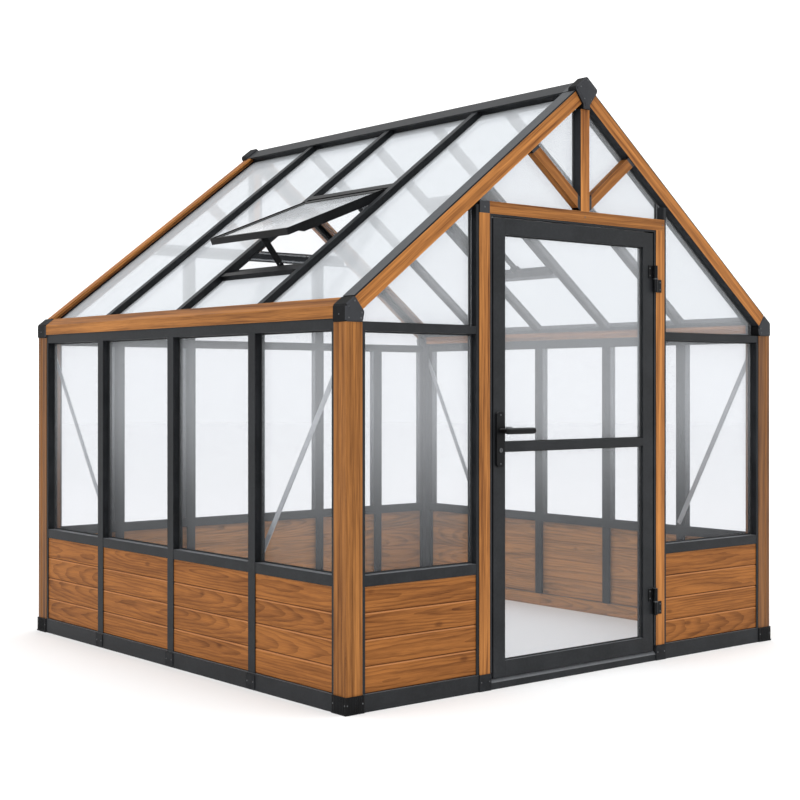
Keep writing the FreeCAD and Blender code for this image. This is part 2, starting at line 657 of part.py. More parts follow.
def make_liners():
    channel = channel_section("liner_width", "liner_web", "bar_front", "bar_depth", "bar_flange")
    liners = []
    tops = {"left": "eave_rail_bottom", "right": "eave_rail_bottom",
            "rear": "eave_bar_bottom", "front": "eave_bar_bottom"}
    for frame, top in tops.items():
        half = "half_width" if frame in ("front", "rear") else "half_depth"
        first = extrude(f"{frame}_liner", "XY", channel, f"{top} - base_height")
        last = extrude(f"{frame}_liner_far", "XY", mirrored(channel), f"{top} - base_height")
        liners.append(place(first, f"-{half} + post_size", z="base_height", frame=frame))
        liners.append(place(last, f"{half} - post_size", z="base_height", frame=frame))
    node("post_liners", liners)

    jamb_liners = []
    for name, outline, x, shift in (("left", mirrored(channel), "-jamb_out", "+ door_offset"),
                                    ("right", channel, "jamb_out", "- door_offset")):
        reach = f"half_width - jamb_out - liner_width {shift}"
        top = f"gable_foot + ({reach}) * tan(roof_pitch) - rest_gap"
        bar = extrude(f"{name}_jamb_liner", "XY", outline, f"{top} - base_height")
        jamb_liners.append(place(bar, x, z="base_height"))
    node("jamb_liners", jamb_liners, "door")


POST_EDGE = ("liner_width", "liner_web")
BAR_EDGE = ("bar_width / 2", "bar_web / 2")


def wall_bays():
    """Every rectangular bay: its wall, name, ends, what borders each end and the rail over its pane."""
    bays = []
    for frame, count, centre in mullion_places():
        half = "half_width" if frame == "rear" else "half_depth"
        rail = "eave_bar_bottom" if frame == "rear" else "eave_rail_bottom"
        stations = [(f"-{half} + post_size", POST_EDGE)]
        stations += [(centre(index), BAR_EDGE) for index in range(1, count)]
        stations += [(f"{half} - post_size", POST_EDGE)]
        for index in range(count):
            bays.append((frame, f"{frame}_bay_{index + 1}", stations[index], stations[index + 1], rail))
    left_jamb, right_jamb = ("door_offset - jamb_out", POST_EDGE), ("door_offset + jamb_out", POST_EDGE)
    left_post, right_post = ("-half_width + post_size", POST_EDGE), ("half_width - post_size", POST_EDGE)
    bays.append(("front", "front_bay_1", left_post, left_jamb, "eave_bar_bottom"))
    bays.append(("front", "front_bay_2", right_jamb, right_post, "eave_bar_bottom"))
    return bays


def plank_section():
    """Plank with bevelled front edges, a tongue on top and a groove below."""
    front, back, top = "plank_front", "plank_front + plank_thick", "plank_pitch - plank_gap"
    middle = "plank_front + plank_thick / 2"
    slot, tongue = "(plank_tongue / 2 + plank_gap)", "plank_tongue / 2"
    slot_top, tongue_top = "plank_tongue_tall + plank_gap", f"{top} + plank_tongue_tall - plank_gap"
    return [(f"{front} + plank_bevel", 0), (f"{middle} - {slot}", 0), (f"{middle} - {slot}", slot_top),
            (f"{middle} + {slot}", slot_top), (f"{middle} + {slot}", 0), (back, 0), (back, top),
            (f"{middle} + {tongue}", top), (f"{middle} + {tongue}", tongue_top),
            (f"{middle} - {tongue}", tongue_top), (f"{middle} - {tongue}", top),
            (f"{front} + plank_bevel", top), (front, f"{top} - plank_bevel"), (front, "plank_bevel")]


def make_bays():
    sill = [("sill_set", 0), ("bar_back", 0), ("bar_back", "sill_tall"), ("groove_back", "sill_tall"),
            ("groove_back", "sill_tall - groove_depth"), ("groove_front", "sill_tall - groove_depth"),
            ("groove_front", "sill_tall"), ("sill_set", "sill_tall")]
    bore = inset_rectangle("sill_set", 0, "groove_front", "sill_tall", "bar_wall")
    sills, planks, panes = [], [], {}
    for frame, name, (start, (start_flange, start_web)), (end, (end_flange, end_web)), rail in wall_bays():
        low, high = f"{start} + {start_flange}", f"{end} - {end_flange}"
        rail_piece = extrude(f"{name}_sill", "YZ", sill, f"{high} - ({low})", bore)
        sills.append(place(rail_piece, low, z="panel_top", frame=frame))

        low, high = f"{start} + {start_web}", f"{end} - {end_web}"
        plank = extrude(f"{name}_plank", "YZ", plank_section(), f"{high} - ({low}) - 2 * plank_end_gap")
        for index in range(VALUES["plank_count"]):
            link = copy(plank, f"{name}_plank_{index + 1}")
            height = f"base_height + {index} * plank_pitch"
            if index == VALUES["plank_count"] - 1:
                link = cut(f"{name}_top_plank", plank, top_plank_trim(name, f"{high} - ({low})"))
            planks.append(place(link, f"{low} + plank_end_gap", z=height, frame=frame))

        bottom, top = "sill_top - groove_depth + glass_fit", f"{rail} + groove_depth - glass_fit"
        pane = box(f"{name}_pane", f"{high} - ({low}) - 2 * pane_side_gap", "glass", f"{top} - ({bottom})")
        place(pane, f"{low} + pane_side_gap", "pane_front", bottom, frame=frame)
        panes.setdefault("side_panes" if frame in ("left", "right") else "gable_wall_panes", []).append(pane)
    node("sill_rails", sills)
    node("wall_planks", planks)
    for label, pieces in panes.items():
        node(label, pieces)


def top_plank_trim(name, length):
    """The top plank has no tongue, because the sill rail lies on it."""
    trim = box(f"{name}_tongue_trim", length, "plank_thick", "plank_tongue_tall")
    return place(trim, 0, "plank_front", "plank_pitch - plank_gap")


# Eaves and gable bars

def grooved_rail(bottom_groove, top_groove, tall):
    """Rail in a wall's section, with a glazing groove below, above or both."""
    outline = [("sill_set", 0)]
    if bottom_groove:
        outline += [("groove_front", 0), ("groove_front", "groove_depth"),
                    ("groove_back", "groove_depth"), ("groove_back", 0)]
    outline += [("bar_back", 0), ("bar_back", tall)]
    if top_groove:
        outline += [(f"{top_groove} + glass + groove_play", tall),
                    (f"{top_groove} + glass + groove_play", f"{tall} - groove_depth"),
                    (f"{top_groove} - groove_play", f"{tall} - groove_depth"),
                    (f"{top_groove} - groove_play", tall)]
    outline += [("sill_set", tall)]
    return outline


def make_eaves():
    tall = "eave_rail_drop + eave_rail_rise"
    section = grooved_rail(True, None, tall)
    bore = inset_rectangle("sill_set", 0, "groove_front", tall, "bar_wall")
    beam_in = "conn_run * cos(roof_pitch)"
    beam_top = "eave_height + conn_run * sin(roof_pitch)"
    foot_in = "(conn_run * cos(roof_pitch) + beam_face * sin(roof_pitch))"
    foot_top = "eave_height + conn_run * sin(roof_pitch) - beam_face * cos(roof_pitch)"
    beam = [(0, "beam_bottom"), (foot_in, "beam_bottom"), (foot_in, foot_top), (beam_in, beam_top),
            (0, "eave_height")]
    beam_bore = [("beam_wall", "beam_bottom + beam_wall"),
                 (f"{foot_in} - beam_wall", "beam_bottom + beam_wall"),
                 (f"{foot_in} - beam_wall", f"{foot_top} - beam_wall"),
                 ("beam_wall", "eave_height - beam_wall")]
    half = "half_depth - conn_inner"
    rails, beams = [], []
    for frame in ("left", "right"):
        rail = extrude(f"{frame}_eave_rail", "YZ", section, f"2 * ({half})", bore)
        rails.append(place(rail, f"-({half})", z="eave_rail_bottom", frame=frame))
        wood = extrude(f"{frame}_eave_beam", "YZ", beam, f"2 * ({half})", beam_bore)
        beams.append(place(wood, f"-({half})", frame=frame))
    node("eave_rails", rails)
    node("eave_beams", beams)

    section = grooved_rail(True, "gable_pane", "eave_bar_tall")
    bore = inset_rectangle("sill_set", 0, "groove_front - groove_play", "eave_bar_tall", "bar_wall")
    bars = []
    jamb = "jamb_out + liner_width"
    for name, frame, low, high in (
            ("front_left_eave_bar", "front", "-half_width + post_size", f"door_offset - ({jamb})"),
            ("front_right_eave_bar", "front", f"door_offset + {jamb}", "half_width - post_size"),
            ("rear_eave_bar", "rear", "-half_width + post_size", "half_width - post_size")):
        bar = extrude(name, "YZ", section, f"{high} - ({low})", bore)
        bars.append(place(bar, low, z="eave_bar_bottom", frame=frame))
    node("gable_eave_bars", bars)

    outline = [("-conn_proud", "post_top"), ("post_size", "post_top"), ("conn_reach", "conn_reach_z"),
               ("conn_top_in", "conn_top_z"), ("-conn_proud", "conn_shoulder")]
    connector = chamfer_all(extrude("eave_connector", "YZ", outline, "conn_length"), "conn_chamfer")
    connectors = []
    for frame in ("left", "right"):
        for end, x in (("low", "-half_depth - conn_proud"), ("high", "half_depth - conn_inner")):
            connectors.append(place(copy(connector, f"{frame}_connector_{end}"), x, frame=frame))
    node("eave_connectors", connectors)


# Roof

def make_roof_frame():
    section = rectangle(0, "-rafter_face", "rafter_depth", 0)
    bore = inset_rectangle(0, "-rafter_face", "rafter_depth", 0, "rafter_wall")
    run = "slope_length - conn_run - ridge_conn_run"
    rafter = extrude("gable_rafter", "XZ", section, run, bore)
    at_front, at_rear = "half_depth - rafter_depth", "-half_depth"
    rafters = {"front_rafters": (("left_slope", at_front), ("right_slope", at_rear)),
               "rear_rafters": (("left_slope", at_rear), ("right_slope", at_front))}
    for label, spots in rafters.items():
        pair = [place(copy(rafter, f"{label}_{frame}"), x, "conn_run", frame=frame) for frame, x in spots]
        node(label, pair)

    reach, web, low, shelf = "edge_bar_width", "liner_web", "-edge_bar_depth", "-roof_bar_depth"
    edge_section = [(0, low), (reach, low), (reach, f"{low} + roof_flange"), (web, f"{low} + roof_flange"),
                    (web, shelf), (reach, shelf), (reach, f"{shelf} + roof_flange"),
                    (web, f"{shelf} + roof_flange"),
                    (web, "-roof_flange"), (reach, "-roof_flange"), (reach, 0), (0, 0)]
    edge_run = "slope_length - conn_run - ridge_run"
    edge = extrude("edge_bar", "XZ", edge_section, edge_run)
    far_edge = extrude("edge_bar_far", "XZ", mirrored(edge_section), edge_run)
    front_strip = box("front_edge_cap", "edge_set + edge_bar_width - edge_cap_set", run, "edge_cap_thick")
    rear_strip = box("rear_edge_cap", "edge_bar_width", run, "edge_cap_thick")
    section = bar_section("roof_bar_width", "roof_bar_web", "-roof_bar_depth", "roof_bar_depth",
                          "roof_flange")
    core = "roof_bar_web / 2 - bar_wall"
    bore = rectangle(f"-({core})", "roof_flange - roof_bar_depth", core, "-roof_flange")
    bar = extrude("roof_bar", "XZ", section, "slope_length - conn_run - ridge_run", bore)
    edge_x = "half_depth - edge_set"
    inner_edge = "half_depth - edge_set - edge_bar_width"
    strips = {"left": ((front_strip, inner_edge), (rear_strip, f"-({edge_x})")),
              "right": ((front_strip, "-half_depth + edge_cap_set"), (rear_strip, inner_edge))}
    for side, count in (("left", VALUES["left_bays"]), ("right", VALUES["right_bays"])):
        frame = side + "_slope"
        bars = [place(copy(edge, f"{side}_edge_bar"), f"-({edge_x})", "conn_run", frame=frame),
                place(copy(far_edge, f"{side}_edge_bar_far"), edge_x, "conn_run", frame=frame)]
        for strip, x in strips[side]:
            bars.append(place(copy(strip, f"{side}_{strip.Name}"), x, "conn_run", frame=frame))
        for index in range(1, count):
            link = copy(bar, f"{side}_roof_bar_{index}")
            bars.append(place(link, f"-half_depth + {index} * {side}_pitch", "conn_run", frame=frame))
        node(f"{side}_roof_bars", bars)


def make_ridge():
    def on_slope(run, rise):
        """Point of the ridge section on the right slope, run down from the ridge and rise above the roof."""
        return (f"{run} * cos(roof_pitch) + ({rise}) * sin(roof_pitch)",
                f"ridge_height - {run} * sin(roof_pitch) + ({rise}) * cos(roof_pitch)")

    def both_sides(right_half):
        return right_half + mirrored(right_half)

    section = [(0, "ridge_height"), on_slope("ridge_run", 0), on_slope("ridge_run", "-ridge_depth")]
    section += mirrored(section[1:])
    bore_top = "ridge_height - ridge_bore - ridge_bore * tan(roof_pitch)"
    bore_low = "ridge_height - ridge_depth"
    bore = [("-ridge_bore / 2", bore_low), ("ridge_bore / 2", bore_low),
            ("ridge_bore", bore_top), ("-ridge_bore", bore_top)]
    inner = "half_depth - rafter_depth"
    beam = extrude("ridge_section", "XZ", section, f"2 * ({inner})", bore)
    node("ridge_beam", [place(beam, y=f"-({inner})")])

    cap_half = [on_slope("ridge_conn_run", "cap_thick"), on_slope("ridge_conn_run", 0)]
    cap_peak = (0, "ridge_height + cap_thick / cos(roof_pitch)")
    cap = [cap_peak] + cap_half + [(0, "ridge_height")] + mirrored(cap_half)
    cover = extrude("ridge_cover", "XZ", cap, f"2 * ({inner})")
    node("ridge_cap", [place(cover, y=f"-({inner})")])

    low_x, low_z = on_slope("ridge_conn_run", "-ridge_conn_face")
    half = [on_slope("ridge_conn_run", "ridge_conn_proud"), (low_x, low_z), (low_x, "king_top")]
    outline = [(0, "ridge_height + ridge_conn_proud / cos(roof_pitch)")] + both_sides(half)
    block = extrude("ridge_connector", "XZ", outline, "rafter_depth + ridge_conn_front")
    connector = round_and_chamfer(block, 3, "ridge_conn_round", "conn_chamfer")
    ends = [place(copy(connector, "front_ridge_connector"), y="-half_depth - ridge_conn_front"),
            place(copy(connector, "rear_ridge_connector"), y="half_depth - rafter_depth")]
    node("ridge_connectors", ends)


def roof_pane(name, frame, low_x, high_x, low_s, high_s):
    pane = box(name, f"{high_x} - ({low_x})", f"{high_s} - ({low_s})", "glass")
    return place(pane, low_x, low_s, "roof_flange - roof_bar_depth + glass_fit", frame=frame)


def make_roof_panes():
    eave, ridge = "conn_run + roof_pane_gap", "slope_length - ridge_run - roof_pane_gap"
    edge = "half_depth - edge_set - liner_web - pane_side_gap"
    gap = "roof_bar_web / 2 + pane_side_gap"
    bays = {"left": VALUES["left_bays"], "right": VALUES["right_bays"]}
    # The left slope's frame counts its bays towards the door gable, and the right slope's away from it.
    vent_index = {"left": VALUES["left_bays"] - VALUES["left_vent_bay"],
                  "right": VALUES["right_vent_bay"] - 1}
    for side, count in bays.items():
        panes = []
        for index in range(count):
            low = f"-({edge})" if index == 0 else f"-half_depth + {index} * {side}_pitch + {gap}"
            high = edge if index == count - 1 else f"-half_depth + {index + 1} * {side}_pitch - ({gap})"
            name, frame = f"{side}_roof_pane_{index + 1}", side + "_slope"
            if index == vent_index[side]:
                sill_s = f"{side}_vent_low + vent_lap - roof_pane_gap"
                head_s = f"{side}_hinge_s + neck_length + vent_bar_width"
                panes.append(roof_pane(name + "_low", frame, low, high, eave, sill_s))
                panes.append(roof_pane(name + "_high", frame, low, high, f"{head_s} + roof_pane_gap", ridge))
            else:
                panes.append(roof_pane(name, frame, low, high, eave, ridge))
        node(f"{side}_roof_panes", panes)


# Gables

def gable_pane(name, outline, frame):
    return place(extrude(name, "XZ", outline, "glass"), y="gable_pane", frame=frame)


def lap_height(x):
    """Top of a gable pane at a distance x from the middle of the gable."""
    return f"lap_apex - ({x}) * tan(roof_pitch)"


def make_gable_panes():
    foot = "post_top - groove_depth + glass_fit"
    outer = "(half_width - conn_reach - pane_side_gap)"
    over, near_king = "header_top - pane_lap", "king_half - pane_lap"
    panes = []
    for side, sign, shift in (("left", -1, "-door_offset"), ("right", 1, "door_offset")):
        liner = f"(jamb_out + liner_web + pane_side_gap + {shift})"
        low_pane = [(liner, foot), (outer, foot), (outer, lap_height(outer)), (liner, lap_height(liner))]
        jamb = f"(jamb_out + {shift} - rest_gap)"
        high_pane = [(near_king, over), (jamb, over), (jamb, lap_height(jamb)),
                     (near_king, lap_height(near_king))]
        for name, outline in ((f"front_{side}_gable_pane", low_pane),
                              (f"front_{side}_truss_pane", high_pane)):
            panes.append(gable_pane(name, outline if sign > 0 else mirrored(outline), "front"))

    bar = "(rear_pitch + bar_web / 2 + pane_side_gap)"
    under = "header_bottom + pane_lap"
    side_pane = [(bar, foot), (outer, foot), (outer, lap_height(outer)), ("tie_lap_out", under),
                 (bar, under)]
    top_pane = [(near_king, over), ("gable_top_out", over), (near_king, lap_height(near_king))]
    middle = "(rear_pitch - bar_web / 2 - pane_side_gap)"
    panes.append(gable_pane("rear_middle_gable_pane", rectangle(f"-{middle}", foot, middle, under), "rear"))
    for name, outline in (("rear_gable_pane", side_pane), ("rear_truss_pane", top_pane)):
        panes.append(gable_pane(name + "_a", outline, "rear"))
        panes.append(gable_pane(name + "_b", mirrored(outline), "rear"))
    node("gable_panes", panes)


def tube_box(name, plane, low, high, length):
    """Hollow member of the gables: rectangle from low to high on a plane, carried along the third axis."""
    outline = rectangle(low[0], low[1], high[0], high[1])
    bore = inset_rectangle(low[0], low[1], high[0], high[1], "rafter_wall")
    return extrude(name, plane, outline, length, bore)


def make_truss():
    kings = []
    for frame in ("front", "rear"):
        king = tube_box(f"{frame}_king_post", "XY", ("-king_half", 0), ("king_half", "rafter_depth"),
                        "king_top - header_top")
        kings.append(place(king, z="header_top", frame=frame))
    node("king_posts", kings)

    tie = tube_box("tie_beam", "YZ", (0, "header_bottom"), ("rafter_depth", "header_top"), "2 * tie_half")
    node("rear_tie_beam", [place(tie, "-tie_half")], "rear")

    slope, half = "tan(diagonal_angle)", "diagonal_half"
    wood_x, wood_z = "king_half + shoe_length", f"diagonal_foot + shoe_length * {slope}"
    back_x, back_z = "shoe_length * cos(diagonal_angle)", "shoe_length * sin(diagonal_angle)"
    out_z = "rafter_apex - diagonal_out * tan(roof_pitch)"
    in_z = "rafter_apex - diagonal_in * tan(roof_pitch)"
    wood = [(wood_x, f"{wood_z} - {half}"), (f"diagonal_out - {back_x}", f"{out_z} - {back_z}"),
            (f"diagonal_in - {back_x}", f"{in_z} - {back_z}"), (wood_x, f"{wood_z} + {half}")]
    low_shoe = [("king_half", f"diagonal_foot - {half}"), (wood_x, f"{wood_z} - {half}"),
                (wood_x, f"{wood_z} + {half}"), ("king_half", f"diagonal_foot + {half}")]
    high_shoe = [(f"diagonal_out - {back_x}", f"{out_z} - {back_z}"), ("diagonal_out", out_z),
                 ("diagonal_in", in_z), (f"diagonal_in - {back_x}", f"{in_z} - {back_z}")]
    groups = {"truss_diagonals": {"diagonal": wood}, "truss_shoes": {"foot": low_shoe, "head": high_shoe}}
    inset = "(rafter_depth - diagonal_depth) / 2"
    for label, outlines in groups.items():
        pieces = []
        for name, outline in outlines.items():
            right = extrude(f"truss_{name}_right", "XZ", outline, "diagonal_depth")
            left = extrude(f"truss_{name}_left", "XZ", mirrored(outline), "diagonal_depth")
            for frame in ("front", "rear"):
                pieces.append(place(copy(right, f"{frame}_{name}_right"), y=inset, frame=frame))
                pieces.append(place(copy(left, f"{frame}_{name}_left"), y=inset, frame=frame))
        node(label, pieces)


def brace_outline(run, long):
    """Flat bar leaning from its lower bolt at the origin, cut upright where it meets the post."""
    across = f"brace_width / 2 * brace_rise / {long}"
    along = f"brace_width / 2 * {run} / {long}"
    tilt = f"brace_rise / {run}"
    back, down = f"brace_end * {run} / {long}", f"brace_end * brace_rise / {long}"
    stop = f"({run} + liner_width / 2 - rest_gap)"
    return [(f"{across} - {back}", f"-{along} - {down}"), (stop, f"({stop} - {across}) * {tilt} - {along}"),
            (stop, f"({stop} + {across}) * {tilt} + {along}"), (f"-{across} - {back}", f"{along} - {down}")]


def make_braces():
    braces, bolts = [], []
    bolt = rod("brace_bolt", "bolt_head / 2", "bolt_head_tall")
    for frame in ("left", "right"):
        outline = brace_outline(f"{frame}_brace_run", f"{frame}_brace_long")
        for end, sign in (("near", 1), ("far", -1)):
            foot_x = f"{sign} * (half_depth - {frame}_pitch)"
            head_x = f"{sign} * (half_depth - post_size - liner_width / 2)"
            flat = extrude(f"{frame}_brace_{end}", "XZ", outline if sign > 0 else mirrored(outline),
                           "brace_thick")
            braces.append(place(flat, foot_x, "bar_back", "brace_low", frame=frame))
            for spot, x, z in (("foot", foot_x, "brace_low"), ("head", head_x, "brace_high")):
                bolts.append(place(copy(bolt, f"{frame}_{end}_{spot}_bolt"), x, "bar_back + brace_thick", z,
                                   ALONG_X, -90, frame))
    node("wall_braces", braces)
    node("brace_bolts", bolts)


# Door opening

def make_door_opening():
    jambs = []
    for name, x in (("left", "-jamb_out"), ("right", "jamb_in")):
        jamb = tube_box(f"{name}_jamb", "XY", (0, 0), ("jamb_width", "rafter_depth"),
                        "header_bottom - foot_floor")
        jambs.append(place(jamb, x, z="foot_floor"))
    node("door_jambs", jambs, "door")

    header = tube_box("header_beam", "YZ", (0, "header_bottom"), ("rafter_depth", "header_top"),
                      "jamb_in + jamb_out")
    node("door_header", [place(header, "-jamb_in")], "door")
    block = box("header_block", "jamb_width", "rafter_depth", "header_tall")
    node("header_end_block", [place(block, "-jamb_out", 0, "header_bottom")], "door")

    lip = "frame_in - frame_stop"
    right = [("frame_in", "leaf_set"), ("jamb_in", "leaf_set"), ("jamb_in", "stop_back"), (lip, "stop_back"),
             (lip, "stop_front"), ("frame_in", "stop_front")]
    upright = "frame_top - base_height"
    head = box("frame_head_bar", "2 * jamb_in", "stop_back - leaf_set", "frame_head")
    bars = [place(extrude("right_frame_bar", "XY", right, upright), z="base_height"),
            place(extrude("left_frame_bar", "XY", mirrored(right), upright), z="base_height"),
            place(head, "-jamb_in", "leaf_set", "frame_top")]
    node("door_frame", bars, "door")

    strip = box("seal_strip", "frame_stop", "seal_thick", upright)
    seals = [place(copy(strip, f"{name}_seal"), x, "leaf_back + rest_gap", "base_height")
             for name, x in (("left", "-frame_in"), ("right", lip))]
    node("door_seals", seals, "door")

    plate = box("strike_blank", "strike_thick", "strike_wide", "strike_tall")
    place(plate, "-frame_in", "leaf_set + (leaf_thick - strike_wide) / 2",
          "handle_height - latch_drop - strike_tall / 2")
    slot = box("strike_slot", "strike_thick", "latch_thick + 4 * turn_gap", "latch_tall + 4 * turn_gap")
    place(slot, "-frame_in", "leaf_set + (leaf_thick - latch_thick) / 2 - 2 * turn_gap",
          "handle_height - latch_drop - latch_tall / 2 - 2 * turn_gap")
    node("strike_plate", [cut("strike_plate_holed", plate, slot)], "door")


def make_hinges():
    """Lift-off hinges: the jamb's half carries the pin, a ring, and the leaf's half on top of it."""
    fixed, rings, moving = [], [], []
    outer, pin = "knuckle_diameter / 2", "pin_diameter / 2"
    spare = "pin_diameter / 2 + pin_fit"
    for name, middle in (("upper", "hinge_upper"), ("lower", "hinge_lower")):
        ring_low, ring_high = f"{middle} - washer_tall / 2", f"{middle} + washer_tall / 2"
        low = f"{ring_low} - knuckle_tall"
        knuckle = place(rod(f"{name}_fixed_knuckle", outer, "knuckle_tall"), "hinge_x", "hinge_y", low)
        stem = place(rod(f"{name}_pin", pin, "2 * knuckle_tall + washer_tall - pin_diameter / 2"),
                     "hinge_x", "hinge_y", low)
        arm = box(f"{name}_fixed_plate", "hinge_plate_width + frame_width + leaf_gap / 2", "hinge_plate",
                  "knuckle_tall")
        place(arm, "hinge_x", "-hinge_plate", low)
        fixed.append(fuse(f"{name}_fixed_half", [knuckle, stem, arm]))

        ring = rod(f"{name}_ring_blank", "washer_diameter / 2", "washer_tall")
        hole = rod(f"{name}_ring_hole", spare, "washer_tall")
        washer = cut(f"{name}_ring", place(ring, "hinge_x", "hinge_y", ring_low),
                     place(hole, "hinge_x", "hinge_y", ring_low))
        rings.append(washer)

        knuckle = place(rod(f"{name}_leaf_knuckle", outer, "knuckle_tall"), "hinge_x", "hinge_y", ring_high)
        arm = box(f"{name}_leaf_plate", "hinge_plate_width + leaf_gap / 2", "hinge_plate", "knuckle_tall")
        place(arm, "leaf_half - hinge_plate_width", "leaf_set - hinge_plate", ring_high)
        hole = place(rod(f"{name}_leaf_bore", spare, "knuckle_tall - pin_diameter / 2 + pin_fit"),
                     "hinge_x", "hinge_y", ring_high)
        moving.append(cut(f"{name}_leaf_half", fuse(f"{name}_leaf_blank", [knuckle, arm]), hole))
    node("hinge_jamb_halves", fixed, "door")
    node("hinge_rings", rings, "door")
    node("hinge_leaf_halves", moving, "door")


# Door leaf

def leaf_rail(low_groove, high_groove, tall):
    """Section of a door rail, y from the leaf's front face and z up, grooved where it holds a pane."""
    front, back = "leaf_groove_front", "leaf_groove_front + leaf_groove"
    outline = [(0, 0)]
    if low_groove:
        outline += [(front, 0), (front, "groove_depth"), (back, "groove_depth"), (back, 0)]
    outline += [("leaf_thick", 0), ("leaf_thick", tall)]
    if high_groove:
        outline += [(back, tall), (back, f"{tall} - groove_depth"), (front, f"{tall} - groove_depth"),
                    (front, tall)]
    return outline + [(0, tall)]


def make_leaf():
    stile = [(0, 0), ("stile_width", 0), ("stile_width", "leaf_groove_front"),
             ("stile_width - groove_depth", "leaf_groove_front"),
             ("stile_width - groove_depth", "leaf_groove_front + leaf_groove"),
             ("stile_width", "leaf_groove_front + leaf_groove"), ("stile_width", "leaf_thick"),
             (0, "leaf_thick")]
    bore_x = "stile_width - groove_depth - leaf_wall"
    bore = rectangle("leaf_wall", "leaf_wall", bore_x, "leaf_thick - leaf_wall")
    height = "leaf_top - leaf_bottom"
    left = place(extrude("lock_stile_blank", "XY", stile, height, bore), "-leaf_half", "leaf_set",
                 "leaf_bottom")
    spindle_hole = lying(rod("stile_spindle_hole", "spindle_hole / 2", "leaf_thick"), "y",
                         "lock_x", "leaf_set", "handle_height")
    key_hole = lying(rod("stile_key_hole", "cylinder_diameter / 2 + turn_gap", "leaf_thick"), "y",
                     "lock_x", "leaf_set", "handle_height - cylinder_drop")
    latch_slot = box("stile_latch_slot", "leaf_wall", "latch_thick + 2 * turn_gap",
                     "latch_tall + 2 * turn_gap")
    place(latch_slot, "-leaf_half", "leaf_set + (leaf_thick - latch_thick) / 2 - turn_gap",
          "handle_height - latch_drop - latch_tall / 2 - turn_gap")
    lock_stile = cut("lock_stile", left, spindle_hole, key_hole, latch_slot)
    hinge_stile = extrude("hinge_stile", "XY", mirrored(stile), height, mirrored(bore))
    place(hinge_stile, "leaf_half", "leaf_set", "leaf_bottom")
    node("door_stiles", [lock_stile, hinge_stile], "door")

    low_x = "-leaf_half + stile_width"
    length = "leaf_width - 2 * stile_width"
    wall = "leaf_wall"
    inner_low, inner_high = f"groove_depth + {wall}", f"stile_width - groove_depth - {wall}"
    top_bore = rectangle(wall, inner_low, f"leaf_thick - {wall}", f"stile_width - {wall}")
    bottom_bore = rectangle(wall, wall, f"leaf_thick - {wall}", inner_high)
    rails = [("top_rail", leaf_rail(True, False, "stile_width"), top_bore, "leaf_top - stile_width"),
             ("bottom_rail", leaf_rail(False, True, "stile_width"), bottom_bore, "leaf_bottom"),
             ("middle_rail", leaf_rail(True, True, "mid_rail_tall"), None, "mid_rail_low")]
    pieces = [place(extrude(name, "YZ", outline, length, bore), low_x, "leaf_set", z)
              for name, outline, bore, z in rails]
    node("door_rails", pieces, "door")

    into = "groove_depth - glass_fit"
    middle = "leaf_set + (leaf_thick - glass) / 2"
    spans = {"lower": ("leaf_bottom + stile_width", "mid_rail_low"),
             "upper": ("mid_rail_high", "leaf_top - stile_width")}
    panes = []
    for name, (low, high) in spans.items():
        pane = box(f"{name}_door_pane", f"{length} + 2 * ({into})", "glass",
                   f"{high} - ({low}) + 2 * ({into})")
        panes.append(place(pane, f"{low_x} - ({into})", middle, f"{low} - ({into})"))
    node("door_panes", panes, "door")


